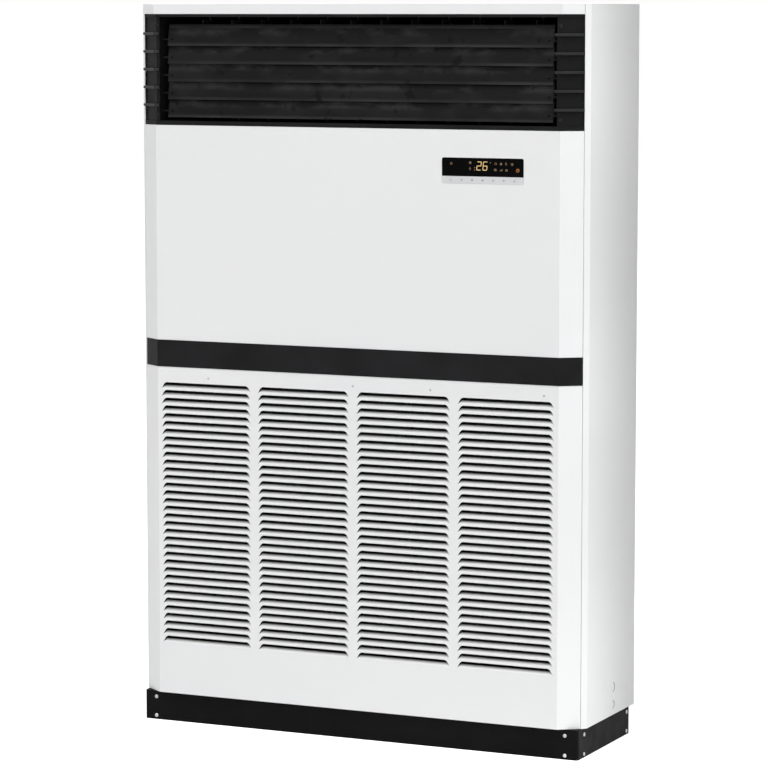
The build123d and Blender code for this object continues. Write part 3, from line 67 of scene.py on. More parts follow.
class Finish:
    """A Principled material with short calls for the nodes that the finishes share."""

    def __init__(self, name, roughness=0.5, metallic=0.0, specular=0.5):
        self.material = bpy.data.materials.new(name)
        self.material.use_nodes = True
        self.tree = self.material.node_tree
        self.shader = self.tree.nodes["Principled BSDF"]
        self.shader.inputs["Roughness"].default_value = roughness
        self.shader.inputs["Metallic"].default_value = metallic
        self.shader.inputs["Specular IOR Level"].default_value = specular
        self.place = self.node("ShaderNodeTexCoord").outputs["Object"]

    def node(self, kind, **settings):
        made = self.tree.nodes.new(kind)
        for key, value in settings.items():
            setattr(made, key, value)
        return made

    def feed(self, socket, value):
        """Links an output into a socket, or sets the socket's own value."""
        if isinstance(value, bpy.types.NodeSocket):
            self.tree.links.new(value, socket)
        else:
            socket.default_value = value

    def maths(self, operation, first, second=None):
        """The result of one Math node."""
        made = self.node("ShaderNodeMath", operation=operation)
        self.feed(made.inputs[0], first)
        if second is not None:
            self.feed(made.inputs[1], second)
        return made.outputs[0]

    def product(self, first, second):
        return self.maths("MULTIPLY", first, second)

    def along(self, axis):
        """The place on the object along one axis."""
        split = self.node("ShaderNodeSeparateXYZ")
        self.feed(split.inputs[0], self.place)
        return split.outputs[axis]

    def stretched(self, stretch):
        mapping = self.node("ShaderNodeMapping")
        self.feed(mapping.inputs["Vector"], self.place)
        mapping.inputs["Scale"].default_value = stretch
        return mapping.outputs["Vector"]

    def noise(self, scale, detail=2.0, stretch=(1, 1, 1), distortion=0.0):
        texture = self.node("ShaderNodeTexNoise")
        self.feed(texture.inputs["Vector"], self.stretched(stretch))
        texture.inputs["Scale"].default_value = scale
        texture.inputs["Detail"].default_value = detail
        texture.inputs["Distortion"].default_value = distortion
        return texture.outputs["Fac"]

    def cells(self, scale, stretch=(1, 1, 1), output="Color"):
        texture = self.node("ShaderNodeTexVoronoi")
        self.feed(texture.inputs["Vector"], self.stretched(stretch))
        texture.inputs["Scale"].default_value = scale
        return texture.outputs[output]

    def stripes(self, axis, pitch):
        """Even stripes across one axis, a triangle wave from 0 to 1."""
        wave = self.maths("PINGPONG", self.along(axis), pitch / 2)
        return self.product(wave, 2 / pitch)

    def span(self, value, low, high, start=0.0, end=1.0):
        """Maps start..end to low..high, and holds it there outside."""
        ranged = self.node("ShaderNodeMapRange")
        self.feed(ranged.inputs["Value"], value)
        ranged.inputs["From Min"].default_value = start
        ranged.inputs["From Max"].default_value = end
        ranged.inputs["To Min"].default_value = low
        ranged.inputs["To Max"].default_value = high
        return ranged.outputs["Result"]

    def blend(self, factor, first, second):
        """A colour between two, by the Mix node's colour sockets A and B."""
        mix = self.node("ShaderNodeMix", data_type="RGBA")
        self.feed(mix.inputs["Factor"], factor)
        self.feed(mix.inputs[6], first)
        self.feed(mix.inputs[7], second)
        return mix.outputs[2]

    def colour(self, value):
        self.feed(self.shader.inputs["Base Color"], value)

    def roughness(self, value):
        self.feed(self.shader.inputs["Roughness"], value)

    def relief(self, height, distance, strength):
        bump = self.node("ShaderNodeBump")
        bump.inputs["Strength"].default_value = strength
        bump.inputs["Distance"].default_value = distance
        self.feed(bump.inputs["Height"], height)
        self.feed(self.shader.inputs["Normal"], bump.outputs["Normal"])


# ---------------------------------------------------------------- finishes of the CAD nodes

dust_full = 0.07            # up to this height above the floor the dust is thickest
dust_none = 0.26            # and from here on there is none

grille_half = 0.545         # the louvred field's half width
grille_drop = 0.040         # and how far it stays below the intake panel's top edge
grille_fade_x = 0.001       # the painted shade fades out over this width beside the field
grille_fade_z = 0.002       # and over it
recess_start = 0.0008       # behind the panel's front, where the painted shade in the louvres' recesses begins
recess_end = 0.0072         # and where it is darkest

fin_pitch = 0.0021          # of the coil
weave_pitch = 0.0016        # of the filters' net

blade_count = 5
blade_dust_and_highlight_band = (0.5, 0.8)        # shares of a blade's height, from its lower edge
# painted highlight along the bullnosed lower edge
blade_edge_highlight_band = (0.08, 0.2)


def painted_sheet(name):
    """White powder coat with a fine orange peel, and its clean colour of slightly uneven tone."""
    finish = Finish(name)
    clean = finish.blend(finish.noise(1.6, detail=3), srgb(231, 232, 233), srgb(238, 238, 238))
    finish.roughness(finish.span(finish.noise(35, detail=3), 0.30, 0.42, start=0.3, end=0.7))
    finish.relief(finish.noise(620, detail=1), distance=0.00005, strength=0.35)
    return finish, clean


def white_paint():
    """Painted sheet with a little dust low down."""
    finish, clean = painted_sheet("white_paint")
    low_down = finish.span(finish.along("Z"), 0.5, 0.0, start=dust_full, end=dust_none)
    patches = finish.span(finish.noise(9, detail=5), 0.0, 1.0, start=0.35, end=0.75)
    finish.colour(finish.blend(finish.product(low_down, patches), clean, srgb(221, 220, 216)))
    return finish.material


def grille_paint():
    """Painted sheet with painted grey shade in the pressed recesses of the louvres, darker the
    deeper they lie.
    """
    low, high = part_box("intake_panel")
    field_top = high.z - grille_drop
    finish, clean = painted_sheet("grille_paint")
    recess = finish.span(finish.along("Y"), 0.0, 1.0,
                         start=low.y + recess_start, end=low.y + recess_end)
    across = finish.maths("ABSOLUTE", finish.along("X"))
    beside = finish.span(across, 1.0, 0.0, start=grille_half, end=grille_half + grille_fade_x)
    above = finish.span(finish.along("Z"), 1.0, 0.0, start=field_top, end=field_top + grille_fade_z)
    patches = finish.span(finish.noise(30, detail=3), 0.85, 1.0, start=0.35, end=0.65)
    # painted shade: the louvres' recesses grow darker with depth behind the front, a little
    # unevenly
    dust_and_painted_light = finish.product(finish.product(recess, finish.product(beside, above)), patches)
    finish.colour(finish.blend(dust_and_painted_light, clean, srgb(132, 132, 130)))
    return finish.material


def grained(name, dark, light, grain, roughness, depth=0.00008, specular=0.08):
    """Paint or plastic with a fine moulded grain and soft uneven wear."""
    finish = Finish(name, specular=specular)
    wear = finish.span(finish.noise(7, detail=4), 0.0, 1.0, start=0.35, end=0.7)
    specks = finish.span(finish.noise(260, detail=2), 0.0, 0.35, start=0.55, end=0.75)
    tone = finish.blend(wear, dark, light)
    finish.colour(finish.blend(specks, tone, light))
    finish.roughness(finish.span(finish.noise(22, detail=4), *roughness, start=0.3, end=0.7))
    finish.relief(finish.noise(grain, detail=2), distance=depth, strength=0.5)
    return finish.material


def galvanised_sheet():
    """Zinc spangle: flat crystals of slightly different tone and gloss."""
    finish = Finish("galvanised_sheet", metallic=0.85)
    crystals = finish.span(finish.cells(110), 0.0, 1.0)
    finish.colour(finish.blend(crystals, srgb(166, 169, 172), srgb(186, 189, 191)))
    finish.roughness(finish.span(crystals, 0.38, 0.5))
    finish.relief(finish.noise(140, detail=3), distance=0.00006, strength=0.3)
    return finish.material


def duct_liner():
    """Dark inner lining of the outlet duct."""
    finish = Finish("duct_liner", specular=0.1)
    tone = finish.noise(90, detail=4)
    finish.colour(finish.blend(tone, srgb(22, 23, 24), srgb(38, 39, 41)))
    finish.roughness(finish.span(tone, 0.75, 0.92))
    finish.relief(finish.noise(420, detail=2), distance=0.0003, strength=0.6)
    return finish.material


def display_glass():
    """Tinted window: near black, glossy, with a trace of finger marks."""
    finish = Finish("display_glass", specular=0.04)
    smear = finish.noise(60, detail=4, stretch=(1, 1, 2.5), distortion=0.8)
    finish.colour(finish.blend(smear, srgb(3, 3, 4), srgb(7, 7, 8)))
    finish.roughness(finish.span(smear, 0.06, 0.2, start=0.35, end=0.7))
    return finish.material


def key_silver():
    """Silver paint on plastic with a fine sideways brushing."""
    finish = Finish("key_silver", metallic=0.35)
    brush = finish.noise(300, detail=3, stretch=(0.08, 1, 3))
    finish.colour(finish.blend(brush, srgb(198, 199, 201), srgb(222, 223, 224)))
    finish.roughness(finish.span(brush, 0.28, 0.42))
    finish.relief(brush, distance=0.00003, strength=0.3)
    return finish.material


def circuit_board():
    """Green board with lighter patches of track."""
    finish = Finish("circuit_board")
    tracks = finish.cells(420, stretch=(1, 1, 0.3), output="Distance")
    finish.colour(finish.blend(tracks, srgb(18, 66, 38), srgb(46, 110, 62)))
    finish.roughness(finish.span(tracks, 0.35, 0.6))
    return finish.material


def coil_fins():
    """Pressed aluminium fins side by side, with painted shade for the slots between them."""
    finish = Finish("coil_fins", metallic=0.8)
    fin = finish.span(finish.stripes("X", fin_pitch), 0.0, 1.0, start=0.25, end=0.6)
    tone = finish.noise(30, detail=3)
    metal = finish.blend(tone, srgb(158, 164, 168), srgb(196, 200, 203))
    # painted shade in the slots between the fins
    finish.colour(finish.blend(fin, srgb(28, 29, 31), metal))
    finish.roughness(finish.span(tone, 0.3, 0.5))
    finish.relief(fin, distance=0.0008, strength=0.6)
    return finish.material


def copper():
    """Drawn tube with darker, browner patches where it has been brazed and handled."""
    finish = Finish("copper", metallic=1.0)
    patches = finish.span(finish.noise(24, detail=5), 0.0, 1.0, start=0.4, end=0.7)
    finish.colour(finish.blend(patches, srgb(205, 132, 98), srgb(134, 78, 54)))
    finish.roughness(finish.span(patches, 0.24, 0.5))
    finish.relief(finish.noise(180, detail=2), distance=0.00005, strength=0.3)
    return finish.material


def motor_paint():
    """Dark grey paint on a cast motor."""
    finish = Finish("motor_paint")
    tone = finish.noise(40, detail=4)
    finish.colour(finish.blend(tone, srgb(44, 47, 52), srgb(62, 66, 72)))
    finish.roughness(finish.span(tone, 0.4, 0.6))
    finish.relief(finish.noise(500, detail=1), distance=0.00008, strength=0.4)
    return finish.material


def machined(name, dark, light, roughness):
    """Turned or rolled steel with fine rings and a slight tarnish."""
    finish = Finish(name, metallic=1.0)
    rings = finish.noise(700, detail=2, stretch=(1, 0.1, 0.1))
    tarnish = finish.span(finish.noise(18, detail=4), 0.0, 1.0, start=0.35, end=0.75)
    finish.colour(finish.blend(tarnish, light, dark))
    finish.roughness(finish.span(rings, *roughness))
    finish.relief(rings, distance=0.00003, strength=0.3)
    return finish.material


def filter_plastic():
    """Dark nylon, kept near black so that the inside behind the louvres reads as painted shade,
    with a fine woven net whose holes are painted darker as shade.
    """
    finish = Finish("filter_plastic", specular=0.1)
    threads = finish.product(finish.stripes("X", weave_pitch), finish.stripes("Z", weave_pitch))
    holes = finish.span(threads, 0.0, 0.6, start=0.1, end=0.5)
    tone = finish.noise(25, detail=4)
    nylon = finish.blend(tone, srgb(15, 15, 16), srgb(24, 25, 26))
    # painted shade in the net's holes
    finish.colour(finish.blend(holes, nylon, srgb(7, 7, 8)))
    finish.roughness(finish.span(tone, 0.55, 0.75))
    finish.relief(threads, distance=0.0002, strength=0.4)
    return finish.material


def blade_rows():
    """Lowest edge of the bottom blade, and the step from one blade to the next."""
    numbers = range(1, blade_count + 1)
    edges = sorted(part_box(f"louvre_blade_{number}")[0].z for number in numbers)
    return edges[0], edges[1] - edges[0]


def blade_plastic(low_edge, pitch):
    """Moulded blades with a painted highlight along the bullnosed lower edge, dusty patches with a
    painted highlight on the upper part, and a few dark pits.
    """
    finish = Finish("blade_plastic", specular=0.08)
    height = finish.maths("MODULO", finish.maths("SUBTRACT", finish.along("Z"), low_edge), pitch)
    upper_start, upper_end = (pitch * share for share in blade_dust_and_highlight_band)
    highlight_start, highlight_end = (pitch * share for share in blade_edge_highlight_band)
    # dust on the upper part of each blade, lighter there also as a painted highlight
    upper = finish.span(height, 0.15, 1.0, start=upper_start, end=upper_end)
    # painted highlight along the bullnosed lower edge, broken up by noise
    lower_edge = finish.span(height, 1.0, 0.0, start=highlight_start, end=highlight_end)
    dust_and_painted_light = finish.span(finish.noise(14, detail=4, stretch=(0.9, 1, 2.0)), 0.0, 1.0,
                       start=0.46, end=0.66)
    highlight_breakup = finish.span(finish.noise(9, detail=2, stretch=(0.6, 1, 1)), 0.3, 1.0,
                         start=0.35, end=0.65)
    streaks = finish.noise(20, detail=4, stretch=(0.3, 1, 3))
    tone = finish.blend(streaks, srgb(16, 16, 17), srgb(24, 24, 25))
    dust_and_highlight = finish.blend(finish.product(upper, dust_and_painted_light), tone, srgb(53, 53, 54))
    edge_highlighted = finish.blend(finish.product(lower_edge, highlight_breakup), dust_and_highlight, srgb(50, 50, 51))
    pits = finish.span(finish.noise(26, detail=3), 0.0, 0.8, start=0.64, end=0.70)
    finish.colour(finish.blend(pits, edge_highlighted, srgb(8, 8, 9)))
    finish.roughness(finish.span(dust_and_painted_light, 0.42, 0.62))
    finish.relief(finish.noise(700, detail=2), distance=0.00008, strength=0.5)
    return finish.material


FINISHES = {
    "white_paint": white_paint(),
    "galvanised_sheet": galvanised_sheet(),
    "base_paint": grained("base_paint", srgb(6, 6, 7), srgb(13, 13, 14),
                          grain=900, roughness=(0.5, 0.62)),
    "screw_steel": machined("screw_steel", srgb(176, 176, 172), srgb(214, 214, 212),
                            roughness=(0.25, 0.4)),
    "belt_gloss": grained("belt_gloss", srgb(24, 24, 25), srgb(34, 34, 36),
                          grain=500, roughness=(0.28, 0.42), depth=0.00004),
    "black_plastic": grained("black_plastic", srgb(20, 20, 21), srgb(31, 31, 32),
                             grain=700, roughness=(0.38, 0.55)),
    "duct_liner": duct_liner(),
    "display_glass": display_glass(),
    "key_silver": key_silver(),
    "circuit_board": circuit_board(),
    "coil_fins": coil_fins(),
    "copper": copper(),
    "motor_paint": motor_paint(),
    "wheel_steel": machined("wheel_steel", srgb(140, 143, 146), srgb(182, 185, 188),
                            roughness=(0.35, 0.5)),
    "bearing_steel": machined("bearing_steel", srgb(120, 121, 123), srgb(170, 171, 173),
                              roughness=(0.3, 0.45)),
    "filter_plastic": filter_plastic(),
}

grille_finish = grille_paint()
blade_finish = blade_plastic(*blade_rows())
vane_finish = grained("vane_plastic", srgb(74, 74, 76), srgb(96, 96, 98),
                      grain=600, roughness=(0.4, 0.55), specular=0.2)
for name, obj in nodes.items():
    for slot in obj.material_slots:
        if name == "intake_panel":
            slot.material = grille_finish
        elif name.startswith("louvre_blade_"):
            slot.material = blade_finish
        elif name.startswith("vane_") and name != "vane_link":
            slot.material = vane_finish
        else:
            slot.material = FINISHES[slot.material.name.split(".")[0]]

# ---------------------------------------------------------------- small helpers for new pieces

weld_distance = 1e-6        # corners closer than this are one


def piece(name, mesh, material):
    """A new object of the given mesh and finish, which stands for a material slot."""
    obj = bpy.data.objects.new(name, mesh)
    bpy.context.scene.collection.objects.link(obj)
    mesh.materials.append(material)
    return obj


def mesh_from(maker, name, outwards=True):
    """The mesh that a maker holds, its faces turned outwards if asked."""
    if outwards:
        bmesh.ops.recalc_face_normals(maker, faces=maker.faces)
    mesh = bpy.data.meshes.new(name)
    maker.to_mesh(mesh)
    maker.free()
    return mesh


def spin_profile(maker, points, centre, axis, steps):
    """A full turn of a profile about an axis, its seam still to be welded."""
    corners = [maker.verts.new(point) for point in points]
    edges = [maker.edges.new(pair) for pair in zip(corners, corners[1:])]
    bmesh.ops.spin(maker, geom=corners + edges, cent=centre, axis=axis, angle=math.tau,
                   steps=steps)


def sleeve(maker, first, second):
    """Faces between two closed rings of corners."""
    for i in range(len(first)):
        maker.faces.new((first[i - 1], second[i - 1], second[i], first[i]))


def polar(radius, degrees):
    """A point at a distance and angle from the origin."""
    angle = math.radians(degrees)
    return (radius * math.cos(angle), radius * math.sin(angle))


def arc(centre, radius, start, end, steps=14):
    """Points on an arc, angles in degrees from +X towards +Z."""
    points = []
    for step in range(steps + 1):
        x, z = polar(radius, start + (end - start) * step / steps)
        points.append((centre[0] + x, centre[1] + z))
    return points


def capsule(start, end, width, steps=7):
    """Outline of one stroke with round ends."""
    turn = math.degrees(math.atan2(end[1] - start[1], end[0] - start[0]))
    return (arc(start, width / 2, turn + 90, turn + 270, steps)
            + arc(end, width / 2, turn - 90, turn + 90, steps))


def strokes(lines, width):
    """Outlines of all the strokes of a drawing made of open lines."""
    return [capsule(a, b, width) for line in lines for a, b in zip(line, line[1:])]


def placed(lines, centre, size):
    """A drawing in a unit square, moved to its place and size."""
    return [[(centre[0] + x * size, centre[1] + z * size) for x, z in line] for line in lines]


def raised_marks(name, outlines, plane_y):
    """Flat marks that stand on a front plane, from outlines in X and Z."""
    maker = bmesh.new()
    for outline in outlines:
        ring = [maker.verts.new((x, plane_y - mark_height, z)) for x, z in outline]
        back = [maker.verts.new((x, plane_y + mark_height, z)) for x, z in outline]
        maker.faces.new(ring)
        sleeve(maker, ring, back)
    return mesh_from(maker, name)


# ---------------------------------------------------------------- display signs

window_low, window_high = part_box("display_window")
window_rim = 0.006          # hidden behind the panel, all round
glass_y = window_low.y
glass_left = window_low.x + window_rim
glass_top = window_high.z - window_rim
mark_height = 0.00012       # of every mark, in front of its plane and sunk into it

digit_size = (0.0105, 0.0200)
digit_stroke = 0.0017
digit_gap = 0.55            # of the stroke, at both ends of a segment
digit_slant = 0.10
digit_centres = ((0.0985, 0.0190), (0.1147, 0.0190))
digit_segments = ("abged", "afgecd")

dot_end = 345               # degrees: the last point of a dot's outline, short of the first
colon_place = (0.0869, 0.0265)
colon_half = 0.003
colon_radius = 0.0011
degree_place = (0.1285, 0.0110)
degree_radius = 0.0010

sign_size = 0.0064
sign_stroke = 0.0009
timer_place = (0.2008, 0.0284)
timer_size = 0.0085
timer_stroke = 0.0012


def lit(name, colour, strength):
    """A lit sign: its own light over a dim printed colour."""
    finish = Finish(name, roughness=0.6)
    brighter = tuple(min(1.0, channel * 1.15) for channel in colour)
    glow = finish.blend(finish.noise(500, detail=1), colour, brighter)
    finish.colour(glow)
    finish.feed(finish.shader.inputs["Emission Color"], glow)
    finish.shader.inputs["Emission Strength"].default_value = strength
    return finish.material


def seven_segments(shown, centre):
    """Strokes of a slanted seven-segment digit."""
    half_w = digit_size[0] / 2
    half_h = digit_size[1] / 2
    inset = digit_stroke * digit_gap
    corners = {
        "a": ((-half_w, half_h), (half_w, half_h)),
        "b": ((half_w, half_h), (half_w, 0)),
        "c": ((half_w, 0), (half_w, -half_h)),
        "d": ((-half_w, -half_h), (half_w, -half_h)),
        "e": ((-half_w, 0), (-half_w, -half_h)),
        "f": ((-half_w, half_h), (-half_w, 0)),
        "g": ((-half_w, 0), (half_w, 0)),
    }
    lines = []
    for segment in shown:
        (x0, z0), (x1, z1) = corners[segment]
        length = math.hypot(x1 - x0, z1 - z0)
        step_x = (x1 - x0) / length * inset
        step_z = (z1 - z0) / length * inset
        ends = ((x0 + step_x, z0 + step_z), (x1 - step_x, z1 - step_z))
        lines.append([(centre[0] + x + z * digit_slant, centre[1] + z) for x, z in ends])
    return lines


def on_glass(across, down):
    """A place on the display, from its top left corner."""
    return (glass_left + across, glass_top - down)


# Drawings in a unit square about their middle
flake = [[polar(0.5, turn), polar(-0.5, turn)] for turn in (30, 90, 150)]
drop = [[(0, 0.5)] + arc((0, -0.15), 0.33, 150, 390) + [(0, 0.5)]]
sun_rays = [[polar(0.34, turn), polar(0.5, turn)] for turn in range(0, 360, 45)]
sun = [arc((0, 0), 0.2, 0, 360)] + sun_rays
rotor = [arc(polar(0.25, turn), 0.22, turn - 120, turn + 110) for turn in (90, 210, 330)]
clock = [arc((0, 0), 0.45, 0, 360), [(0, 0.28), (0, 0), (0.2, -0.1)]]
moon = [arc((0, 0), 0.42, 60, 300), arc((0.2, 0), 0.34, 95, 265)]
swing = [[(-0.45, z), (-0.15, z + 0.12), (0.15, z - 0.12), (0.45, z)] for z in (-0.3, 0, 0.3)]
power = [arc((0, -0.05), 0.4, 125, 415), [(0, 0.45), (0, 0.05)]]
ladder = [[(-0.4, -0.35), (-0.4, -0.1)], [(0, -0.35), (0, 0.12)], [(0.4, -0.35), (0.4, 0.4)]]
lock_body = [(-0.35, -0.45), (0.35, -0.45), (0.35, 0.05), (-0.35, 0.05), (-0.35, -0.45)]
padlock = [lock_body, arc((0, 0.05), 0.24, 0, 180)]
up_arrow = [[(-0.4, -0.2), (0, 0.3), (0.4, -0.2)]]
down_arrow = [[(-0.4, 0.2), (0, -0.3), (0.4, 0.2)]]

# Each drawing with its place, across and down from the display's top left corner
signs = (
    (power, 0.0247, 0.0140), (sun, 0.0750, 0.0115), (drop, 0.0745, 0.0263),
    (rotor, 0.1428, 0.0130), (flake, 0.1567, 0.0132), (moon, 0.1709, 0.0130),
    (clock, 0.1860, 0.0140), (swing, 0.1420, 0.0279), (ladder, 0.1570, 0.0282),
    (padlock, 0.1714, 0.0276),
)

digit_lines = []
for shown, (across, down) in zip(digit_segments, digit_centres):
    digit_lines += seven_segments(shown, on_glass(across, down))
digit_mesh = raised_marks("display_digits", strokes(digit_lines, digit_stroke), glass_y)
digit_light = lit("amber_digits", srgb(208, 178, 120), strength=0.45)
digits = piece("display_digits", digit_mesh, digit_light)
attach(digits, "cabinet")

sign_outlines = []
for drawing, across, down in signs:
    sign_outlines += strokes(placed(drawing, on_glass(across, down), sign_size), sign_stroke)
colon = on_glass(*colon_place)
for rise in (-colon_half, colon_half):
    sign_outlines.append(arc((colon[0], colon[1] + rise), colon_radius, 0, dot_end))
sign_outlines.append(arc(on_glass(*degree_place), degree_radius, 0, dot_end))
sign_mesh = raised_marks("display_signs", sign_outlines, glass_y)
sign_light = lit("cream_signs", srgb(138, 117, 88), strength=0.38)
signs_piece = piece("display_signs", sign_mesh, sign_light)
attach(signs_piece, "cabinet")

timer_lines = placed(clock, on_glass(*timer_place), timer_size)
timer_mesh = raised_marks("display_timer", strokes(timer_lines, timer_stroke), glass_y)
timer_light = lit("amber_timer", srgb(164, 112, 56), strength=0.4)
timer = piece("display_timer", timer_mesh, timer_light)
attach(timer, "cabinet")

# ---------------------------------------------------------------- marks on the keys


def ink(name, dark, light):
    """Printed ink of slightly uneven density."""
    finish = Finish(name)
    finish.colour(finish.blend(finish.noise(900, detail=2), dark, light))
    return finish.material


key_ink = ink("key_ink", srgb(92, 93, 96), srgb(112, 113, 116))
key_ink_dark = ink("key_ink_dark", srgb(20, 20, 24), srgb(34, 34, 38))
thin_line = 0.0006
bold_line = 0.0014
small_mark = 0.0042
lock_mark = 0.0046
arrow_mark = 0.0050
key_drawings = (
    (power, key_ink, small_mark, thin_line),
    (rotor, key_ink, small_mark, thin_line),
    (up_arrow, key_ink_dark, arrow_mark, bold_line),
    (down_arrow, key_ink_dark, arrow_mark, bold_line),
    (swing, key_ink, small_mark, thin_line),
    (clock, key_ink, small_mark, thin_line),
    (padlock, key_ink, lock_mark, thin_line),
)
for number, (drawing, material, size, line) in enumerate(key_drawings, start=1):
    low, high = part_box(f"key_{number}")
    centre = ((low.x + high.x) / 2, (low.z + high.z) / 2)
    name = f"key_mark_{number}"
    outlines = strokes(placed(drawing, centre, size), line)
    mark = piece(name, raised_marks(name, outlines, low.y), material)
    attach(mark, f"key_{number}")

# ---------------------------------------------------------------- ribs across the outlet's columns

frame_low, frame_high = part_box("outlet_frame")
cad_rib_proud = 0.001       # the CAD's own ribs, in front of the column's face
front_y = frame_low.y + cad_rib_proud       # the columns' face, in the white front's plane
rib_rise = 0.015            # above the pivot of the blade beside it
rib_half_height = 0.0034
rib_proud = 0.0065          # in front of the column's face
rib_seat = 0.0005           # sunk into that face
rib_edge = 0.001            # chamfer along its edges
column_inner = 0.541        # the end of the flat front beside the blades
column_corner = 0.554       # where the flat front turns into the bevel
bevel_run = 0.034           # the bevel's depth
rib_end_inset = 0.003       # from the bevel's outer end
blade_levels = [joint["pos_m"][2] for joint in frame["joints"]
                if joint["name"].startswith("louvre_") and joint["name"].endswith("_tilt")]


def rib_caps():
    """Bars over the ribs of both columns, their section swept along the column's plan."""
    bevel = Vector((frame_high.x - column_corner, bevel_run))
    length = bevel.length
    bevel.normalize()
    front_normal = Vector((0, -1))
    bevel_normal = Vector((bevel.y, -bevel.x))
    mitre = (front_normal + bevel_normal) / (1 + front_normal.dot(bevel_normal))
    corner = Vector((column_corner, front_y))
    plan = [
        (Vector((column_inner, front_y)), front_normal), (corner, mitre),
        (corner + bevel * (length - rib_end_inset), bevel_normal),
    ]
    upper = [(-rib_seat, rib_half_height), (rib_proud - rib_edge, rib_half_height),
             (rib_proud, rib_half_height - rib_edge)]
    section = upper + [(out, -rise) for out, rise in reversed(upper)]
    maker = bmesh.new()
    for level in blade_levels:
        for side in (-1, 1):
            rings = []
            for place, normal in plan:
                points = [(place + normal * out, level + rib_rise + rise) for out, rise in section]
                rings.append([maker.verts.new((side * point.x, point.y, z)) for point, z in points])
            for first, second in zip(rings, rings[1:]):
                sleeve(maker, first, second)
            maker.faces.new(rings[0])
            maker.faces.new(rings[-1])
    return mesh_from(maker, "outlet_rib_caps")


# a lighter copy of the black plastic: painted highlight on the ribs
rib_highlight_finish = grained("rib_highlight_plastic", srgb(30, 30, 31), srgb(44, 44, 45),
                     grain=700, roughness=(0.38, 0.5), specular=0.2)
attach(piece("outlet_rib_caps", rib_caps(), rib_highlight_finish), "cabinet")

# ---------------------------------------------------------------- knock-out edges with painted shadow, and grille rivets

knockout_back = 0.225       # behind the white front
knockouts = ((0.146, 0.013), (0.102, 0.011))    # level and radius
knockout_mouth = 0.0030     # widest opening of the sheared edge with its painted shadow
knockout_skin = 0.0001      # how far the dark crescent lies off the paint
knockout_turn = 82          # degrees up and down from the rear
knockout_steps = 20


def knockout_edge_shadows():
    """The sheared rear edge of each knock-out with the painted shadow of its pushed-in disc, a thin
    dark crescent on the side panels.
    """
    side_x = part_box("right_side_panel")[1].x
    maker = bmesh.new()
    for side in (-1, 1):
        for level, radius in knockouts:
            middle = (front_y + knockout_back, level)
            outer = arc(middle, radius, -knockout_turn, knockout_turn, knockout_steps)
            inner = []
            for step, (y, z) in enumerate(outer):
                width = knockout_mouth * math.sin(math.pi * (step + 1) / (knockout_steps + 2))
                shrink = (radius - width) / radius
                inner.append((middle[0] + (y - middle[0]) * shrink,
                              middle[1] + (z - middle[1]) * shrink))
            top = side * (side_x + knockout_skin)
            base = side * (side_x - knockout_skin)
            rows = [[maker.verts.new((x, y, z)) for y, z in line]
                    for x, line in ((base, outer), (top, outer), (top, inner), (base, inner))]
            for first, second in zip(rows, rows[1:] + rows[:1]):
                for i in range(knockout_steps):
                    maker.faces.new((first[i], first[i + 1], second[i + 1], second[i]))
            for end in (0, -1):
                maker.faces.new([row[end] for row in rows])
    return mesh_from(maker, "knockout_edge_shadows")


# dark grey: the cut edge and the painted shadow of the pushed-in disc
sheared_edge_and_shadow = grained("sheared_edge_and_shadow", srgb(34, 34, 34), srgb(50, 50, 50),
                       grain=500, roughness=(0.5, 0.7), specular=0.1)
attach(piece("knockout_edge_shadows", knockout_edge_shadows(), sheared_edge_and_shadow), "cabinet")

rivet_radius = 0.0030
rivet_height = 0.0012
rivet_drop = 0.0255         # below the intake panel's top edge
rivet_places = (-0.4075, 0.0, 0.212, 0.5155)
rivet_rings = 5
rivet_sides = 24


def grille_rivets():
    """Low domed heads in a row over the louvres."""
    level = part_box("intake_panel")[1].z - rivet_drop
    maker = bmesh.new()
    for x in rivet_places:
        profile = []
        for ring in range(rivet_rings + 1):
            out, rise = polar(1, 90 * ring / rivet_rings)
            profile.append((x + rivet_radius * out, front_y - rivet_height * rise, level))
        spin_profile(maker, profile, (x, front_y, level), (0, 1, 0), rivet_sides)
    bmesh.ops.remove_doubles(maker, verts=maker.verts, dist=weld_distance)
    rims = [edge for edge in maker.edges if edge.is_boundary]
    bmesh.ops.holes_fill(maker, edges=rims)
    return mesh_from(maker, "grille_rivets")


rivet_paint = grained("rivet_paint", srgb(186, 187, 188), srgb(206, 207, 208),
                      grain=500, roughness=(0.35, 0.5), specular=0.4)
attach(piece("grille_rivets", grille_rivets(), rivet_paint), "intake_panel")

# ---------------------------------------------------------------- screws

screw_wall = 0.30           # the head's straight wall, as a share of its height
screw_flat = 0.62           # where its rounding starts, as a share of its radius
screw_crown = 1.04          # its middle, as a share of its height
screw_rings = 6             # of its rounding
screw_sides = 32
screw_recess_length = 0.0060
screw_recess_width = 0.0020
screw_recess_depth = 0.0018
screw_recess_top = 1.10     # the level that its depth starts from, as a share of the height
screw_cutter_rise = 1.8     # the cutter's height, as a share of the recess's depth
screw_turn = 37             # degrees between the crosses of one screw and the next


def recess_cutter(height):
    """A box that cuts one arm of the cross, from the recess's floor up through the head."""
    maker = bmesh.new()
    tall = screw_recess_depth * screw_cutter_rise
    size = (screw_recess_length, screw_recess_width, tall)
    middle = (0, 0, height * screw_recess_top - screw_recess_depth + tall / 2)
    made = bmesh.ops.create_cube(maker, size=1.0)
    bmesh.ops.scale(maker, vec=size, verts=made["verts"])
    bmesh.ops.translate(maker, vec=middle, verts=made["verts"])
    return mesh_from(maker, "screw_cross", outwards=False)


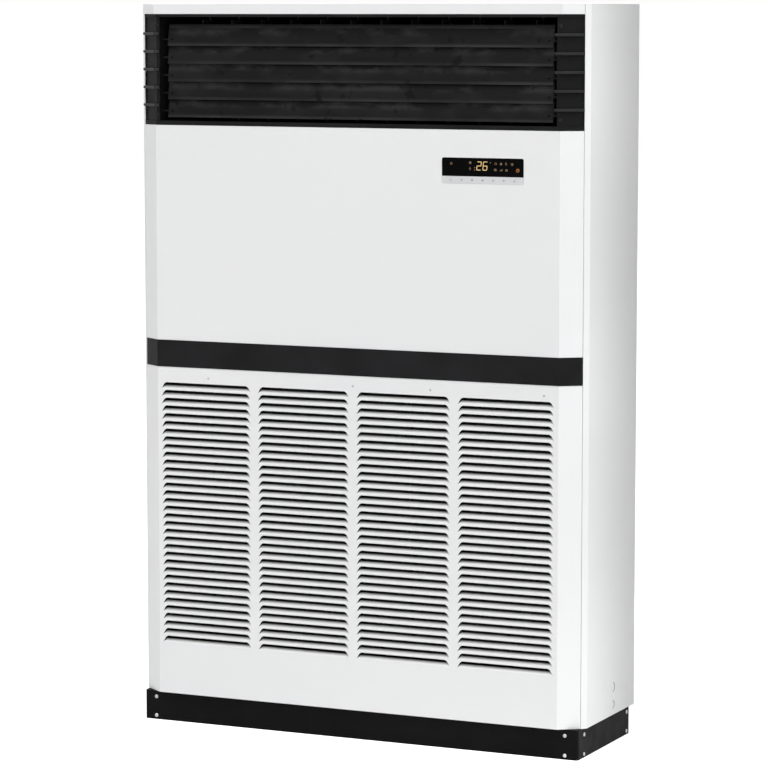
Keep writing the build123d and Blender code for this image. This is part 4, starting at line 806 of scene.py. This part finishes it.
def cross_screw(radius, height):
    """Pan head with a cross recess, standing on z = 0 and looking along +Z."""
    wall_top = height * screw_wall
    profile = [(0.0, 0.0), (radius, 0.0), (radius, wall_top)]
    for ring in range(1, screw_rings + 1):
        out, rise = polar(1, 90 * ring / screw_rings)
        profile.append((radius * screw_flat + radius * (1 - screw_flat) * out,
                        wall_top + height * (1 - screw_wall) * rise))
    profile.append((0.0, height * screw_crown))
    maker = bmesh.new()
    spin_profile(maker, [(x, 0, z) for x, z in profile], (0, 0, 0), (0, 0, 1), screw_sides)
    bmesh.ops.remove_doubles(maker, verts=maker.verts, dist=weld_distance)
    head = bpy.data.objects.new("screw_head", mesh_from(maker, "screw_head"))
    bpy.context.scene.collection.objects.link(head)
    cutter_mesh = recess_cutter(height)
    helpers = [head]
    for turn in (0, 90):
        cutter = bpy.data.objects.new(f"screw_cutter_{turn}", cutter_mesh)
        cutter.rotation_euler.z = math.radians(turn)
        bpy.context.scene.collection.objects.link(cutter)
        cut = head.modifiers.new("cut", "BOOLEAN")
        cut.operation = "DIFFERENCE"
        cut.solver = "EXACT"
        cut.object = cutter
        helpers.append(cutter)
    bpy.context.view_layer.update()
    evaluated = head.evaluated_get(bpy.context.evaluated_depsgraph_get())
    finished = bpy.data.meshes.new_from_object(evaluated)
    for helper in helpers:
        bpy.data.objects.remove(helper)
    return finished


def islands(mesh):
    """Lowest and highest corner of each separate part of a mesh."""
    reader = bmesh.new()
    reader.from_mesh(mesh)
    bmesh.ops.remove_doubles(reader, verts=reader.verts, dist=weld_distance)
    left = set(reader.verts)
    found = []
    while left:
        stack = [left.pop()]
        group = []
        while stack:
            vert = stack.pop()
            group.append(vert.co.copy())
            for edge in vert.link_edges:
                other = edge.other_vert(vert)
                if other in left:
                    left.remove(other)
                    stack.append(other)
        found.append((Vector(min(c[i] for c in group) for i in range(3)),
                      Vector(max(c[i] for c in group) for i in range(3))))
    reader.free()
    return found


def screw_place(low, high):
    """Seat and outward direction of a screw head, from its box."""
    size = high - low
    thin = min(range(3), key=lambda i: size[i])
    middle = (low + high) / 2
    outward = Vector((0, 0, 0))
    outward[thin] = 1 if middle[thin] > 0 else -1
    seat = middle - outward * size[thin] / 2
    return seat, outward


screw_boxes = sorted(islands(nodes["cabinet_screws"].data), key=lambda box: tuple(box[0]))
bracket_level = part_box("outlet_frame")[0].z
first_size = screw_boxes[0][1] - screw_boxes[0][0]
head_mesh = cross_screw(max(first_size) / 2, min(first_size))
black_screw = grained("black_screw", srgb(30, 30, 31), srgb(52, 52, 54),
                      grain=800, roughness=(0.3, 0.45))
screw_groups = {
    "bright_screws": (FINISHES["screw_steel"], []),
    "black_screws": (black_screw, []),
}
for index, (low, high) in enumerate(screw_boxes):
    seat, outward = screw_place(low, high)
    on_bracket = outward.y < 0 and seat.z > bracket_level
    turn = Matrix.Rotation(math.radians(screw_turn * index), 4, "Z")
    stand = outward.to_track_quat("Z", "Y").to_matrix().to_4x4()
    group = screw_groups["black_screws" if on_bracket else "bright_screws"][1]
    group.append(Matrix.Translation(seat) @ stand @ turn)
for name, (material, places) in screw_groups.items():
    joined = bmesh.new()
    for place in places:
        before = set(joined.verts)
        joined.from_mesh(head_mesh)
        fresh = [vert for vert in joined.verts if vert not in before]
        bmesh.ops.transform(joined, matrix=place, verts=fresh)
    screws = piece(name, mesh_from(joined, name, outwards=False), material)
    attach(screws, "cabinet")
    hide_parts("cabinet_screws")
bpy.data.meshes.remove(head_mesh)

# ---------------------------------------------------------------- floor and world

floor_size = 60.0
floor_lift = 0.75           # own light that the camera sees
floor_gloss_lift = 0.25     # own light that gloss and glass show
sky_strength = 0.20         # light that falls on the scene
backdrop_strength = 1.0     # what is seen directly, in gloss and through glass
mirror_rays = ("Is Glossy Ray", "Is Transmission Ray")


def floor_finish():
    """Pale floor that shows white to the camera and keeps the object's shadow."""
    finish = Finish("floor_finish", roughness=0.9, specular=0.1)
    finish.colour(finish.blend(finish.noise(3, detail=3), srgb(240, 240, 240), srgb(244, 244, 244)))
    path = finish.node("ShaderNodeLightPath")
    lift = finish.span(path.outputs["Is Camera Ray"], 0.0, floor_lift)
    for kind in mirror_rays:
        mirrored = finish.span(path.outputs[kind], 0.0, floor_gloss_lift)
        lift = finish.maths("MAXIMUM", lift, mirrored)
    finish.shader.inputs["Emission Color"].default_value = (1, 1, 1, 1)
    finish.feed(finish.shader.inputs["Emission Strength"], lift)
    return finish.material


floor_maker = bmesh.new()
bmesh.ops.create_grid(floor_maker, x_segments=4, y_segments=4, size=floor_size / 2)
floor_mesh = mesh_from(floor_maker, "floor", outwards=False)
floor_mesh.materials.append(floor_finish())
floor = bpy.data.objects.new("floor", floor_mesh)
bpy.context.scene.collection.objects.link(floor)

world = bpy.data.worlds.new("studio")
world.use_nodes = True
world_nodes = world.node_tree.nodes
world_links = world.node_tree.links
background = world_nodes["Background"]
background.inputs["Color"].default_value = (1, 1, 1, 1)
ray_kind = world_nodes.new("ShaderNodeLightPath")
seen = ray_kind.outputs["Is Camera Ray"]
for kind in mirror_rays:
    either = world_nodes.new("ShaderNodeMath")
    either.operation = "MAXIMUM"
    world_links.new(seen, either.inputs[0])
    world_links.new(ray_kind.outputs[kind], either.inputs[1])
    seen = either.outputs[0]
strength = world_nodes.new("ShaderNodeMapRange")
strength.inputs["To Min"].default_value = sky_strength
strength.inputs["To Max"].default_value = backdrop_strength
world_links.new(seen, strength.inputs["Value"])
world_links.new(strength.outputs["Result"], background.inputs["Strength"])
bpy.context.scene.world = world

# ---------------------------------------------------------------- lights

studio_middle = Vector((0.0, 0.0, 0.9))
studio_distance = 20.0
studio_width = 8.0

side_lamp_x = 2.1
side_lamp_levels = (0.9, 1.6, 2.3, 3.0)
side_lamp_size = (0.3, 0.5)
side_lamp_power = 0.62
side_lamp_spread = 34       # degrees
side_aim_x = 0.62           # just outside the right side panel
side_aim_drop = 0.8         # below the lamp
side_tilt = 0.28            # how far the side lamps look forward of the middle


def area_light(name, place, target, size, power, spread=180):
    """A soft box at a place, aimed at a target, that the camera doesn't see."""
    data = bpy.data.lights.new(name, "AREA")
    data.shape = "RECTANGLE"
    data.size, data.size_y = size
    data.energy = power
    data.spread = math.radians(spread)
    lamp = bpy.data.objects.new(name, data)
    lamp.location = place
    lamp.rotation_euler = (Vector(target) - Vector(place)).to_track_quat("-Z", "Y").to_euler()
    lamp.visible_camera = False
    bpy.context.scene.collection.objects.link(lamp)


def studio_light(name, bearing, climb, power):
    """A large soft box far off, as strong low down on the object as at its top."""
    bearing = math.radians(bearing)
    climb = math.radians(climb)
    away = Vector((math.sin(bearing) * math.cos(climb), -math.cos(bearing) * math.cos(climb),
                   math.sin(climb)))
    area_light(name, studio_middle + away * studio_distance, studio_middle,
               (studio_width, studio_width), power)


studio_light("key_light", bearing=5, climb=65, power=2750)
studio_light("fill_light", bearing=5, climb=20, power=700)
studio_light("back_light", bearing=180, climb=50, power=300)
for level in side_lamp_levels:
    area_light(f"side_light_{level}", (side_lamp_x, 0.0, level),
               (side_aim_x, -side_tilt, level - side_aim_drop),
               side_lamp_size, side_lamp_power, spread=side_lamp_spread)

# ---------------------------------------------------------------- camera

camera_data = bpy.data.cameras.new("photo_camera")
camera_data.sensor_width = 36.0
camera_data.lens = 157.24
camera_data.clip_end = 100.0
camera = bpy.data.objects.new("photo_camera", camera_data)
camera.location = (3.562, -7.716, 1.831)
camera.rotation_euler = (math.radians(83.668), 0.0, math.radians(24.795))
bpy.context.scene.collection.objects.link(camera)
bpy.context.scene.camera = camera

bpy.context.scene.view_settings.view_transform = "Standard"
